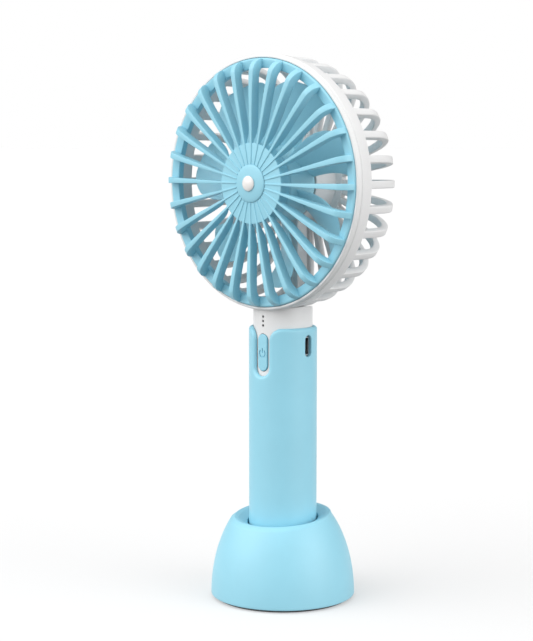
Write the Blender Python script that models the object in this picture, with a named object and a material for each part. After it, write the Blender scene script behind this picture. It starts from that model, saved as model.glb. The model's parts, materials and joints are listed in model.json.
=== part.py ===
"""Handheld fan with a charging-handle body and a weighted desk stand.

Everything is in metres with +Z up. The stand's foot is on Z = 0 and the handle's
axis is X = Y = 0. The fan's front faces -Y, and its impeller turns about Y.
"""

import math

import bmesh
import bpy
from mathutils import Matrix, Vector

MM = 0.001
TURN = 2 * math.pi

# ---------------------------------------------------------------- driving sizes
GAP = 0.3 * MM                          # clearance left between two pieces that meet
ROUND_STEPS = 48                        # facets of a large round piece
SMALL_STEPS = 16                        # facets of a small round piece

# stand
FOOT_PAD_THICKNESS = 0.8 * MM
SHELL_BOTTOM = FOOT_PAD_THICKNESS + GAP
STAND_RADIUS = 29.45 * MM
DOME_RISE = 45.0 * MM                   # upright half axis of the ellipse that the dome follows
DOME_WALL = 2.2 * MM
CREST_HEIGHT = SHELL_BOTTOM + 32.9 * MM
CREST_SLOPE = 0.085                     # the dome's top is cut on a slant, higher at the back
CREST_RADIUS = 19.4 * MM
SOCKET_RADIUS = 14.4 * MM
SOCKET_WALL = 1.6 * MM
SOCKET_FLOOR = SHELL_BOTTOM + 5.4 * MM
SOCKET_FLOOR_THICKNESS = 1.8 * MM
STAND_SCREW_CIRCLE = 17.4 * MM
STAND_SCREW_HEAD = 2.1 * MM
STAND_SCREW_CORE = STAND_SCREW_HEAD * 0.45
STAND_POST_RADIUS = 1.75 * MM
BASE_PLATE_BOTTOM = SHELL_BOTTOM + 0.2 * MM
BASE_PLATE_THICKNESS = 2.0 * MM
BASE_PLATE_TOP = BASE_PLATE_BOTTOM + BASE_PLATE_THICKNESS
BASE_PLATE_RADIUS = 26.6 * MM
WEIGHT_BOTTOM = BASE_PLATE_TOP + GAP
WEIGHT_HEIGHT = 10.0 * MM
FOOT_PAD_INNER = 21.3 * MM
FOOT_PAD_OUTER = STAND_RADIUS - 2.0 * MM

# handle
HANDLE_RADIUS = 13.83 * MM
HANDLE_BOTTOM = SOCKET_FLOOR + GAP
HANDLE_TOP = SHELL_BOTTOM + 110.5 * MM
NECK_RADIUS = 12.02 * MM
NECK_WALL = 1.6 * MM
SLEEVE_BEVEL = 1.35 * MM
NOTCH_HALF_WIDTH = 3.45 * MM
NOTCH_BOTTOM = SHELL_BOTTOM + 91.0 * MM
NOTCH_CORNER = 5.0 * MM
END_CAP_THICKNESS = 1.2 * MM
SPIGOT_HEIGHT = 3.0 * MM                # how far the end cap's plug reaches into the tube
TUBE_BOTTOM = HANDLE_BOTTOM + END_CAP_THICKNESS + GAP

# controls and electronics
BUTTON_WIDTH = 4.9 * MM
BUTTON_LENGTH = 14.9 * MM
BUTTON_HEIGHT = SHELL_BOTTOM + 100.55 * MM
BUTTON_FACE = 12.45 * MM                # how far forward the button's face stands
FLANGE_FRONT = -9.3 * MM                # the button's flange stops against the neck from inside
FLANGE_BACK = -8.3 * MM
FLANGE_REACH = 0.8 * MM
SIGN_OUTER = 1.65 * MM
SIGN_INNER = 1.3 * MM
SIGN_DEPTH = 0.2 * MM
SWITCH_FRONT = -7.2 * MM
SWITCH_HALF_WIDTH = 3.0 * MM
SWITCH_BORE = 1.75 * MM
PLUNGER_RADIUS = 1.45 * MM
PLUNGER_FRONT = -8.0 * MM
PLUNGER_BACK = -6.0 * MM
LIGHT_RADIUS = 0.475 * MM
LIGHT_HEIGHTS = [SHELL_BOTTOM + height * MM for height in (111.5, 113.28, 115.06)]
PORT_HEIGHT = SHELL_BOTTOM + 103.1 * MM
PORT_WIDTH = 3.7 * MM
PORT_LENGTH = 8.7 * MM
BOARD_FRONT = -3.0 * MM
BOARD_THICKNESS = 1.2 * MM
CELL_RADIUS = 9.2 * MM                  # an 18650 lithium cell
CELL_LENGTH = 65.0 * MM
CELL_BOTTOM = HANDLE_BOTTOM + END_CAP_THICKNESS + SPIGOT_HEIGHT + 1.5 * MM
CELL_TOP = CELL_BOTTOM + CELL_LENGTH

# head
HEAD_HEIGHT = SHELL_BOTTOM + 168.3 * MM
GRILLE_RADIUS = 49.0 * MM
GRILLE_INNER = 45.2 * MM
GRILLE_FACE = -14.8 * MM
GRILLE_BACK = -11.5 * MM
FRONT_RIBS = 28
FRONT_RIB_START = math.radians(-0.8)    # the grille is seated a little turned in its rim
RIB_CREST = -19.9 * MM                  # how far forward the front ribs bulge
RIB_CORNER = 5.7 * MM
RIB_DEPTH = 3.9 * MM
HUB_RADIUS = 16.0 * MM
HUB_FACE = -19.3 * MM
BOSS_RADIUS = 7.5 * MM
BOSS_RISE = 1.1 * MM
BEAD_RADIUS = 3.05 * MM
BEAD_RISE = 1.1 * MM
BAND_RADIUS = 50.9 * MM
BAND_INNER = 47.3 * MM
BAND_FRONT = -14.07 * MM
BAND_BACK = -6.2 * MM
BAND_INNER_BACK = -4.1 * MM             # the band's back slants towards the ribs' roots
REAR_RIBS = 32
REAR_RIB_WIDTH = 3.0 * MM
REAR_RIB_DEPTH = 2.9 * MM
CAGE_RADIUS = 50.3 * MM
CAGE_CORNER = 15.0 * MM
CAGE_BACK = 18.0 * MM
REAR_DISC_RADIUS = 18.5 * MM
POD_RADIUS = 15.3 * MM
POD_FRONT = 2.8 * MM
POD_WALL = 1.4 * MM
SPOKE_HALF_WIDTH = 4.0 * MM
SPOKE_FRONT = 4.4 * MM
SPOKE_BACK = 10.4 * MM
SPOKE_WALL = 1.2 * MM

# impeller and motor
BLADES = 7
BLADE_TIP = 42.0 * MM
BLADE_THICKNESS = 1.3 * MM
BLADE_FRONT = -9.0 * MM
BLADE_BACK = 1.0 * MM
BLADE_START = math.radians(98.0)        # where the first blade's front edge leaves the hub
BLADE_SWEEP = math.radians(16)          # how far the front edge runs ahead at the tip
BLADE_SPAN = math.radians(34)           # the angle that a blade covers at its root
IMPELLER_RADIUS = 15.5 * MM
IMPELLER_FRONT = -12.9 * MM
IMPELLER_BACK = 1.5 * MM
SHAFT_RADIUS = 1.0 * MM
BEARING_RADIUS = 3.0 * MM
STATOR_RADIUS = 10.8 * MM
STATOR_TEETH = 6
STATOR_YOKE = 5.6 * MM
STATOR_FRONT = -6.2 * MM
STATOR_BACK = -1.2 * MM
TOOTH_HALF_WIDTH = 1.4 * MM
COIL_INNER = 6.7 * MM
COIL_OUTER = 9.0 * MM
COIL_BUILD = 1.1 * MM                   # how thick the wire lies on a tooth
BEARING_TUBE_RADIUS = 3.9 * MM
BEARING_TUBE_FRONT = -7.8 * MM
BEARING_LENGTH = 2.5 * MM
SHAFT_BORE = SHAFT_RADIUS + 0.15 * MM
IMPELLER_WALL = 1.2 * MM
IMPELLER_FACE = 1.5 * MM                # thickness of the hub cup's front
ROTOR_WALL = 0.8 * MM
MAGNET_THICKNESS = 1.2 * MM
MAGNET_FRONT = -7.6 * MM
MAGNET_BACK = 0.2 * MM
MOTOR_BOARD_FRONT = 4.0 * MM
LEAD_RADIUS = 0.55 * MM
LEAD_SPACING = 1.6 * MM
LEAD_ROOM = LEAD_SPACING / 2 + LEAD_RADIUS + 0.4 * MM

HEAD_CENTRE = Vector((0, 0, HEAD_HEIGHT))

# ---------------------------------------------------------------- materials
FINISHES = {
    "sky_blue_plastic": ((0.33, 0.68, 0.80), 0.45, 0.0),
    "white_plastic": ((0.86, 0.86, 0.87), 0.40, 0.0),
    "pearl_white": ((0.92, 0.90, 0.88), 0.12, 0.0),
    "black_plastic": ((0.02, 0.02, 0.02), 0.50, 0.0),
    "smoked_plastic": ((0.06, 0.06, 0.07), 0.25, 0.0),
    "foot_rubber": ((0.05, 0.05, 0.055), 0.90, 0.0),
    "plated_steel": ((0.62, 0.62, 0.64), 0.30, 1.0),
    "brass": ((0.78, 0.60, 0.30), 0.30, 1.0),
    "copper_wire": ((0.72, 0.36, 0.20), 0.35, 1.0),
    "magnet": ((0.10, 0.10, 0.11), 0.60, 0.5),
    "green_board": ((0.03, 0.22, 0.10), 0.45, 0.0),
    "cell_wrap": ((0.10, 0.28, 0.62), 0.35, 0.0),
    "red_wire": ((0.65, 0.04, 0.04), 0.50, 0.0),
    "black_wire": ((0.03, 0.03, 0.03), 0.50, 0.0),
}


def finish(name):
    """The Principled material of this name, made the first time it is asked for."""
    known = bpy.data.materials.get(name)
    if known:
        return known
    colour, roughness, metallic = FINISHES[name]
    material = bpy.data.materials.new(name)
    material.use_nodes = True
    shader = material.node_tree.nodes["Principled BSDF"]
    shader.inputs["Base Color"].default_value = (*colour, 1)
    shader.inputs["Roughness"].default_value = roughness
    shader.inputs["Metallic"].default_value = metallic
    return material


# ---------------------------------------------------------------- shape helpers
def clear_scene():
    for existing in list(bpy.data.objects):
        bpy.data.objects.remove(existing, do_unlink=True)


def as_object(name, mesh_data, material=None, origin=(0, 0, 0)):
    """Put a bmesh into the scene as an object whose origin is the given point."""
    origin = Vector(origin)
    bmesh.ops.recalc_face_normals(mesh_data, faces=mesh_data.faces)
    bmesh.ops.translate(mesh_data, vec=-origin, verts=mesh_data.verts)
    mesh = bpy.data.meshes.new(name)
    mesh_data.to_mesh(mesh)
    mesh_data.free()
    mesh.shade_smooth()
    mesh.set_sharp_from_angle(angle=math.radians(35))
    piece = bpy.data.objects.new(name, mesh)
    piece.location = origin
    bpy.context.scene.collection.objects.link(piece)
    if material:
        mesh.materials.append(finish(material))
    else:
        piece.hide_render = True
        piece.display_type = "WIRE"
    return piece


def combine(piece, tool, operation):
    """Leave a Boolean on the piece. The tool isn't a piece of its own."""
    modifier = piece.modifiers.new(f"{operation} {tool.name}", "BOOLEAN")
    modifier.operation = operation
    modifier.object = tool
    modifier.solver = "EXACT"
    return piece


def cut(piece, tool):
    return combine(piece, tool, "DIFFERENCE")


def join(piece, tool):
    return combine(piece, tool, "UNION")


def add_turned(mesh_data, profile, centre=(0, 0, 0), along="Z", steps=ROUND_STEPS):
    """Turn a closed outline of (radius, distance along the axis) points about the axis.

    The profile is a list, or a function that gives the list for an angle.
    """
    centre = Vector(centre)
    angles = [TURN * step / steps for step in range(steps)]
    outlines = [profile(angle) if callable(profile) else profile for angle in angles]
    rings = []
    for index, (first_radius, _) in enumerate(outlines[0]):
        ring = []
        for angle, outline in zip(angles, outlines):
            radius, distance = outline[index]
            across = radius * math.cos(angle)
            up = radius * math.sin(angle)
            place = {
                "X": (distance, across, up),
                "Y": (across, distance, up),
                "Z": (across, up, distance),
            }[along]
            ring.append(mesh_data.verts.new(centre + Vector(place)))
            if first_radius == 0:
                break
        rings.append(ring)
    for first, second in zip(rings, rings[1:] + rings[:1]):
        for step in range(steps):
            after = (step + 1) % steps
            corners = [
                first[step % len(first)],
                first[after % len(first)],
                second[after % len(second)],
                second[step % len(second)],
            ]
            corners = list(dict.fromkeys(corners))
            if len(corners) > 2:
                mesh_data.faces.new(corners)
    return mesh_data


def turned(name, profile, material=None, **placing):
    return as_object(name, add_turned(bmesh.new(), profile, **placing), material)


def add_block(mesh_data, low, high, turn=None):
    """Add a box between two corners, turned by a matrix if one is given."""
    corners = [
        Vector((x, y, z)) for x in (low[0], high[0]) for y in (low[1], high[1]) for z in (low[2], high[2])
    ]
    verts = [mesh_data.verts.new(turn @ corner if turn else corner) for corner in corners]
    for face in ((0, 1, 3, 2), (4, 6, 7, 5), (0, 4, 5, 1), (2, 3, 7, 6), (0, 2, 6, 4), (1, 5, 7, 3)):
        mesh_data.faces.new([verts[index] for index in face])
    return mesh_data


def block(name, low, high, material=None):
    return as_object(name, add_block(bmesh.new(), low, high), material)


def add_prism(mesh_data, outline, start, end, place):
    """Extrude a flat outline of (u, v) points from start to end; place maps (u, v, depth) to space."""
    ends = [[mesh_data.verts.new(place(u, v, depth)) for u, v in outline] for depth in (start, end)]
    mesh_data.faces.new(ends[0])
    mesh_data.faces.new(ends[1])
    count = len(outline)
    for index in range(count):
        after = (index + 1) % count
        mesh_data.faces.new([ends[0][index], ends[0][after], ends[1][after], ends[1][index]])
    return mesh_data


def add_slab(mesh_data, rows, columns, point):
    """Add a closed slab between two grids. point(side, row, column) runs 0 to 1 in all three."""
    sides = []
    for side in (0, 1):
        sides.append([
            [mesh_data.verts.new(point(side, row / rows, column / columns)) for column in range(columns + 1)]
            for row in range(rows + 1)
        ])
    for grid in sides:
        for row in range(rows):
            for column in range(columns):
                mesh_data.faces.new([
                    grid[row][column],
                    grid[row + 1][column],
                    grid[row + 1][column + 1],
                    grid[row][column + 1],
                ])
    rim = [(0, column) for column in range(columns)]
    rim += [(row, columns) for row in range(rows)]
    rim += [(rows, column) for column in range(columns, 0, -1)]
    rim += [(row, 0) for row in range(rows, 0, -1)]
    for (row, column), (next_row, next_column) in zip(rim, rim[1:] + rim[:1]):
        mesh_data.faces.new([
            sides[0][row][column],
            sides[0][next_row][next_column],
            sides[1][next_row][next_column],
            sides[1][row][column],
        ])
    return mesh_data


def arc(centre, radius, start, end, steps):
    """Points on an arc between two angles in degrees, both ends included."""
    points = []
    for step in range(steps + 1):
        angle = math.radians(start + (end - start) * step / steps)
        points.append((centre[0] + radius * math.cos(angle), centre[1] + radius * math.sin(angle)))
    return points


def obround(width, length, steps=8):
    """A slot's outline, longer along its second coordinate, about its own middle."""
    radius = width / 2
    straight = length / 2 - radius
    return arc((0, straight), radius, 0, 180, steps) + arc((0, -straight), radius, 180, 360, steps)


def ring_profile(inner, outer, start, end):
    return [(inner, start), (outer, start), (outer, end), (inner, end)]


def disc_profile(radius, start, end):
    return [(0, start), (radius, start), (radius, end), (0, end)]


def facing_front(height):
    """A place function for outlines seen from the front: u is across, v is up, depth is Y."""
    return lambda u, v, depth: Vector((u, depth, height + v))


def facing_side(height):
    """A place function for outlines seen from +X: u is along Y, v is up, depth is X."""
    return lambda u, v, depth: Vector((depth, u, height + v))


def cross_outline(reach, width):
    """A plus sign about its own middle."""
    half = width / 2
    quarter = [(reach, -half), (reach, half), (half, half)]
    points = []
    for turn in range(4):
        spin = Matrix.Rotation(TURN * turn / 4, 2)
        points += [tuple(spin @ Vector(point)) for point in quarter]
    return points


def cross_head_screw(name, head_radius, head_height, length, place):
    """A screw whose head starts at place and whose shank points up."""
    shank_radius = head_radius * 0.45
    profile = [
        (0, 0),
        (head_radius * 0.8, 0),
        (head_radius, head_height * 0.4),
        (head_radius, head_height),
        (shank_radius, head_height),
        (shank_radius, head_height + length - shank_radius),
        (0, head_height + length),
    ]
    screw = turned(name, profile, "plated_steel", centre=place, steps=SMALL_STEPS)
    recess = add_prism(
        bmesh.new(),
        cross_outline(head_radius * 0.6, head_radius * 0.25),
        -head_height,
        head_height * 0.6,
        lambda u, v, depth: Vector(place) + Vector((u, v, depth)),
    )
    return cut(screw, as_object(f"{name}_recess", recess))


# ---------------------------------------------------------------- stand
def dome_radius(height, inset=0.0):
    """Radius of the dome at a height, or of the same curve set in by the wall."""
    rise = (height - SHELL_BOTTOM) / (DOME_RISE - inset)
    return (STAND_RADIUS - inset) * math.sqrt(1 - rise * rise)


def stand_screw_places(height):
    for index in range(3):
        angle = TURN * (index / 3 + 0.25)
        yield Vector((STAND_SCREW_CIRCLE * math.cos(angle), STAND_SCREW_CIRCLE * math.sin(angle), height))


def crest_height(angle):
    """Height of the slanted crest above this point of the dome's outline."""
    return CREST_HEIGHT + CREST_SLOPE * CREST_RADIUS * math.sin(angle)


def stand_profile(angle):
    """The shell's section: dome, rounded crest, dished top, socket cup and the hollow under them."""
    crest = crest_height(angle)
    ceiling = CREST_HEIGHT - 8 * MM
    cup_outer = SOCKET_RADIUS + SOCKET_WALL
    cup_floor = SOCKET_FLOOR - SOCKET_FLOOR_THICKNESS
    shoulder = crest - 0.9 * MM
    dome_steps, hollow_steps = 8, 4
    dome = [SHELL_BOTTOM + (shoulder - SHELL_BOTTOM) * step / dome_steps for step in range(dome_steps + 1)]
    hollow = [ceiling + (SHELL_BOTTOM - ceiling) * step / hollow_steps for step in range(hollow_steps + 1)]
    points = [(dome_radius(height), height) for height in dome]
    points += [
        (CREST_RADIUS + 0.35 * MM, crest - 0.25 * MM),
        (CREST_RADIUS - 0.35 * MM, crest),
        (CREST_RADIUS - 1.6 * MM, crest - 0.5 * MM),
        (SOCKET_RADIUS + 0.4 * MM, crest - 2.0 * MM),
        (SOCKET_RADIUS, crest - 2.5 * MM),
        (SOCKET_RADIUS, SOCKET_FLOOR),
        (0, SOCKET_FLOOR),
        (0, cup_floor),
        (cup_outer, cup_floor),
        (cup_outer, ceiling),
    ]
    points += [(dome_radius(height, DOME_WALL), height) for height in hollow]
    return points


def make_stand_shell():
    """The dome and its socket cup, one moulding, open underneath."""
    shell = turned("stand_shell", stand_profile, "sky_blue_plastic")
    post_bottom = BASE_PLATE_TOP + GAP
    post = disc_profile(STAND_POST_RADIUS, post_bottom, CREST_HEIGHT - 7 * MM)
    pilot = disc_profile(STAND_SCREW_CORE + 0.15 * MM, post_bottom - 1 * MM, post_bottom + 7 * MM)
    for number, place in enumerate(stand_screw_places(0), start=1):
        join(shell, turned(f"stand_post_{number}", post, centre=place, steps=SMALL_STEPS))
        cut(shell, turned(f"stand_pilot_{number}", pilot, centre=place, steps=SMALL_STEPS))
    return shell


def make_stand_weight():
    """A steel ring in the dome that keeps the stand upright."""
    top = WEIGHT_BOTTOM + WEIGHT_HEIGHT
    inner = STAND_SCREW_CIRCLE + STAND_POST_RADIUS + 2 * GAP
    profile = [
        (inner, WEIGHT_BOTTOM),
        (dome_radius(WEIGHT_BOTTOM, DOME_WALL) - 3 * GAP, WEIGHT_BOTTOM),
        (dome_radius(top, DOME_WALL) - 2 * GAP, top),
        (inner, top),
    ]
    return turned("stand_weight_ring", profile, "plated_steel")


def make_stand_base_plate():
    """The plate that closes the dome, with a sunk hole for each screw."""
    sheet = disc_profile(BASE_PLATE_RADIUS, BASE_PLATE_BOTTOM, BASE_PLATE_TOP)
    plate = turned("stand_base_plate", sheet, "sky_blue_plastic")
    below, above = BASE_PLATE_BOTTOM - 1 * MM, BASE_PLATE_TOP + 1 * MM
    sink = BASE_PLATE_BOTTOM + 1.3 * MM
    wide, narrow = STAND_SCREW_HEAD + GAP, STAND_SCREW_CORE + 0.2 * MM
    hole = [(0, below), (wide, below), (wide, sink), (narrow, sink), (narrow, above), (0, above)]
    for number, place in enumerate(stand_screw_places(0), start=1):
        cut(plate, turned(f"stand_plate_hole_{number}", hole, centre=place, steps=SMALL_STEPS))
    return plate


def make_stand_foot():
    """A rubber ring under the base plate."""
    pad = ring_profile(FOOT_PAD_INNER, FOOT_PAD_OUTER, 0, FOOT_PAD_THICKNESS)
    return turned("stand_foot_pad", pad, "foot_rubber")


def make_stand():
    make_stand_shell()
    make_stand_weight()
    make_stand_base_plate()
    make_stand_foot()
    for number, place in enumerate(stand_screw_places(BASE_PLATE_BOTTOM + 0.1 * MM), start=1):
        cross_head_screw(f"stand_screw_{number}", STAND_SCREW_HEAD, 1.0 * MM, 6.5 * MM, place)


# ---------------------------------------------------------------- handle
def notch_point(side, row, column):
    """The cutter of the button notch, wrapped round the sleeve and wider towards the outside."""
    radius = NECK_RADIUS - 0.6 * MM if side == 0 else HANDLE_RADIUS + 1.0 * MM
    flare = SLEEVE_BEVEL * (radius - NECK_RADIUS - GAP) / (HANDLE_RADIUS - NECK_RADIUS - GAP)
    round_rows, straight_rows = 0.4, 0.55
    corner_centre = HANDLE_TOP - NOTCH_CORNER
    round_centre = NOTCH_BOTTOM + NOTCH_HALF_WIDTH
    if row <= round_rows:
        angle = math.radians(4 + 86 * row / round_rows)
        half_width = (NOTCH_HALF_WIDTH + flare) * math.sin(angle)
        height = round_centre - (NOTCH_HALF_WIDTH + flare) * math.cos(angle)
    elif row <= straight_rows:
        half_width = NOTCH_HALF_WIDTH + flare
        share = (row - round_rows) / (straight_rows - round_rows)
        height = round_centre + (corner_centre - round_centre) * share
    elif row < 1:
        angle = math.radians(90 * (row - straight_rows) / (0.999 - straight_rows))
        half_width = NOTCH_HALF_WIDTH + NOTCH_CORNER - (NOTCH_CORNER - flare) * math.cos(angle)
        height = corner_centre + (NOTCH_CORNER - flare) * math.sin(angle)
    else:
        half_width = NOTCH_HALF_WIDTH + NOTCH_CORNER
        height = HANDLE_TOP + 4 * MM
    angle = (2 * column - 1) * half_width / NECK_RADIUS
    return Vector((radius * math.sin(angle), -radius * math.cos(angle), height))


def make_sleeve():
    """The blue grip tube, with a flared notch in front and the charging slot in its side."""
    bore = NECK_RADIUS + GAP
    bevel = arc((HANDLE_RADIUS - SLEEVE_BEVEL, HANDLE_TOP - SLEEVE_BEVEL), SLEEVE_BEVEL, 0, 80, 4)
    profile = [(bore, TUBE_BOTTOM), (HANDLE_RADIUS, TUBE_BOTTOM)] + bevel + [(bore, HANDLE_TOP)]
    sleeve = turned("handle_sleeve", profile, "sky_blue_plastic")
    cut(sleeve, as_object("sleeve_notch_cutter", add_slab(bmesh.new(), 20, 10, notch_point)))
    slot = obround(PORT_WIDTH, PORT_LENGTH)
    inside, outside = NECK_RADIUS - 1 * MM, HANDLE_RADIUS + 1 * MM
    cutter = add_prism(bmesh.new(), slot, inside, outside, facing_side(PORT_HEIGHT))
    return cut(sleeve, as_object("sleeve_port_cutter", cutter))


def make_end_cap():
    """The plug that closes the bottom of the handle."""
    edge = 0.5 * MM
    top = HANDLE_BOTTOM + END_CAP_THICKNESS
    spigot = NECK_RADIUS - NECK_WALL - GAP
    profile = [
        (0, HANDLE_BOTTOM),
        (HANDLE_RADIUS - edge, HANDLE_BOTTOM),
        (HANDLE_RADIUS, HANDLE_BOTTOM + edge),
        (HANDLE_RADIUS, top),
        (spigot, top),
        (spigot, top + SPIGOT_HEIGHT),
        (0, top + SPIGOT_HEIGHT),
    ]
    return turned("handle_end_cap", profile, "sky_blue_plastic")


def make_chassis():
    """The white inner tube: neck above the grip, tongue behind the notch, cell holder below."""
    tube = ring_profile(NECK_RADIUS - NECK_WALL, NECK_RADIUS, TUBE_BOTTOM, HEAD_HEIGHT - BAND_INNER)
    chassis = turned("neck_chassis", tube, "white_plastic")
    head = disc_profile(BAND_RADIUS + GAP, -40 * MM, 40 * MM)
    cut(chassis, turned("chassis_head_cutter", head, centre=HEAD_CENTRE, along="Y", steps=2 * ROUND_STEPS))
    key_hole = obround(BUTTON_WIDTH + 0.5 * MM, BUTTON_LENGTH + 0.5 * MM)
    opening = add_prism(bmesh.new(), key_hole, -NECK_RADIUS - 1 * MM, -7 * MM, facing_front(BUTTON_HEIGHT))
    cut(chassis, as_object("chassis_button_cutter", opening))
    for number, height in enumerate(LIGHT_HEIGHTS, start=1):
        bore = disc_profile(LIGHT_RADIUS + 0.12 * MM, -NECK_RADIUS - 1 * MM, -9 * MM)
        place = (0, 0, height)
        cut(chassis, turned(f"chassis_light_cutter_{number}", bore, centre=place, along="Y", steps=12))
    slot = obround(PORT_WIDTH, PORT_LENGTH)
    opening = add_prism(bmesh.new(), slot, 9 * MM, NECK_RADIUS + 1 * MM, facing_side(PORT_HEIGHT))
    return cut(chassis, as_object("chassis_port_cutter", opening))


def power_mark():
    """The engraved power sign: a ring open at the top, and an upright stroke through the gap."""
    ring = arc((0, 0), SIGN_OUTER, 130, 410, 20) + arc((0, 0), SIGN_INNER, 410, 130, 20)
    half = (SIGN_OUTER - SIGN_INNER) / 2
    foot, head = 0.2 * MM, 2.1 * MM
    stroke = [(-half, foot), (half, foot), (half, head), (-half, head)]
    place = facing_front(BUTTON_HEIGHT - 0.3 * MM)
    marks = bmesh.new()
    for outline in (ring, stroke):
        add_prism(marks, outline, -BUTTON_FACE - 1 * MM, -BUTTON_FACE + SIGN_DEPTH, place)
    return as_object("power_mark_cutter", marks)


def make_button():
    """The power button: an obround key with a flange that keeps it in the neck."""
    place = facing_front(BUTTON_HEIGHT)
    key = obround(BUTTON_WIDTH, BUTTON_LENGTH)
    shape = add_prism(bmesh.new(), key, -BUTTON_FACE, FLANGE_BACK - 0.2 * MM, place)
    button = as_object("power_button", shape, "sky_blue_plastic", (0, -BUTTON_FACE, BUTTON_HEIGHT))
    wide = obround(BUTTON_WIDTH + 2 * FLANGE_REACH, BUTTON_LENGTH + 2 * FLANGE_REACH)
    flange = add_prism(bmesh.new(), wide, FLANGE_FRONT, FLANGE_BACK, place)
    join(button, as_object("power_button_flange", flange))
    return cut(button, power_mark())


def make_lights():
    """Three light pipes through the neck, with a small lamp on the board behind each."""
    for number, height in enumerate(LIGHT_HEIGHTS, start=1):
        pipe = disc_profile(LIGHT_RADIUS, -NECK_RADIUS - 0.03 * MM, -9.0 * MM)
        turned(f"light_pipe_{number}", pipe, "smoked_plastic", centre=(0, 0, height), along="Y", steps=12)
        low = (-0.5 * MM, BOARD_FRONT - GAP - 0.6 * MM, height - 0.4 * MM)
        high = (0.5 * MM, BOARD_FRONT - GAP, height + 0.4 * MM)
        block(f"indicator_lamp_{number}", low, high, "pearl_white")


def make_switch():
    """The push switch behind the button: a square body and the plunger that the button presses."""
    half = SWITCH_HALF_WIDTH
    body = block(
        "power_switch_body",
        (-half, SWITCH_FRONT, BUTTON_HEIGHT - half),
        (half, BOARD_FRONT - GAP, BUTTON_HEIGHT + half),
        "black_plastic",
    )
    placing = {"centre": (0, 0, BUTTON_HEIGHT), "along": "Y", "steps": SMALL_STEPS}
    bore = disc_profile(SWITCH_BORE, SWITCH_FRONT - 1 * MM, SWITCH_FRONT + 2.2 * MM)
    cut(body, turned("switch_bore_cutter", bore, **placing))
    rod = disc_profile(PLUNGER_RADIUS, PLUNGER_FRONT, PLUNGER_BACK)
    plunger = add_turned(bmesh.new(), rod, **placing)
    as_object("power_switch_plunger", plunger, "black_plastic", (0, PLUNGER_FRONT, BUTTON_HEIGHT))


def make_port():
    """The micro-USB charging socket: a plated shell open to the side, and its tongue."""
    length, width, wall = 7.4 * MM, 2.7 * MM, 0.3 * MM
    back, front = 7.0 * MM, 12.6 * MM

    def outline(grow):
        half_length, half_width, corner = length / 2 - grow, width / 2 - grow, 0.6 * MM
        return [
            (-half_width, -half_length),
            (half_width - 0.2 * MM, -half_length),
            (half_width, -half_length + corner),
            (half_width, half_length - corner),
            (half_width - 0.2 * MM, half_length),
            (-half_width, half_length),
        ]

    place = facing_side(PORT_HEIGHT)
    tube = add_prism(bmesh.new(), outline(0), back, front, place)
    shell = as_object("usb_socket_shell", tube, "plated_steel")
    hollow = add_prism(bmesh.new(), outline(wall), back + wall, front + 1 * MM, place)
    cut(shell, as_object("usb_hollow_cutter", hollow))
    block(
        "usb_socket_tongue",
        (back + wall + GAP, 0.15 * MM, PORT_HEIGHT - 1.8 * MM),
        (front - 1.0 * MM, 0.75 * MM, PORT_HEIGHT + 1.8 * MM),
        "black_plastic",
    )


def make_board_and_cell():
    """The control board behind the button, and the lithium cell below it."""
    half = 8.6 * MM
    board_low = (-half, BOARD_FRONT, CELL_TOP + 3.0 * MM)
    board_high = (half, BOARD_FRONT + BOARD_THICKNESS, LIGHT_HEIGHTS[-1] + 1.5 * MM)
    block("control_board", board_low, board_high, "green_board")
    edge, nub = 0.8 * MM, 2.8 * MM
    shoulder = CELL_TOP - 1.0 * MM
    profile = [
        (0, CELL_BOTTOM),
        (CELL_RADIUS - edge, CELL_BOTTOM),
        (CELL_RADIUS, CELL_BOTTOM + edge),
        (CELL_RADIUS, shoulder - edge),
        (CELL_RADIUS - edge, shoulder),
        (nub, shoulder),
        (nub, CELL_TOP),
        (0, CELL_TOP),
    ]
    turned("battery_cell", profile, "cell_wrap", steps=32)
    spring_disc = ring_profile(2.0 * MM, CELL_RADIUS - 1 * MM, CELL_BOTTOM - 1.0 * MM, CELL_BOTTOM - 0.6 * MM)
    turned("battery_contact", spring_disc, "plated_steel", steps=SMALL_STEPS)


def make_handle():
    make_sleeve()
    make_end_cap()
    make_chassis()
    make_button()
    make_lights()
    make_switch()
    make_port()
    make_board_and_cell()


# ---------------------------------------------------------------- head
def spoke(angle, radius, depth, offset):
    """A place on a rib: out from the head's centre, forward or back, and across the rib."""
    outward = Vector((math.cos(angle), 0, math.sin(angle)))
    across = Vector((-math.sin(angle), 0, math.cos(angle)))
    return HEAD_CENTRE + outward * radius + across * offset + Vector((0, depth, 0))


def add_rib(mesh_data, angle, front, back, half_width):
    """Add a closed rib between a front and a back curve of (radius, depth) points."""
    stations = []
    for (front_radius, front_depth), (back_radius, back_depth) in zip(front, back):
        wide_front, wide_back = half_width(front_radius), half_width(back_radius)
        stations.append([
            mesh_data.verts.new(spoke(angle, front_radius, front_depth, -wide_front)),
            mesh_data.verts.new(spoke(angle, front_radius, front_depth, wide_front)),
            mesh_data.verts.new(spoke(angle, back_radius, back_depth, wide_back)),
            mesh_data.verts.new(spoke(angle, back_radius, back_depth, -wide_back)),
        ])
    mesh_data.faces.new(stations[0])
    mesh_data.faces.new(stations[-1])
    for first, second in zip(stations, stations[1:]):
        for side in range(4):
            after = (side + 1) % 4
            mesh_data.faces.new([first[side], first[after], second[after], second[side]])
    return mesh_data


def front_rib_half_width(radius):
    """Ribs taper from 2.8 mm at the rim to 0.6 mm beside the boss."""
    share = (radius - BOSS_RADIUS) / (GRILLE_RADIUS - BOSS_RADIUS)
    return (0.3 + 1.1 * share) * MM


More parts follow.
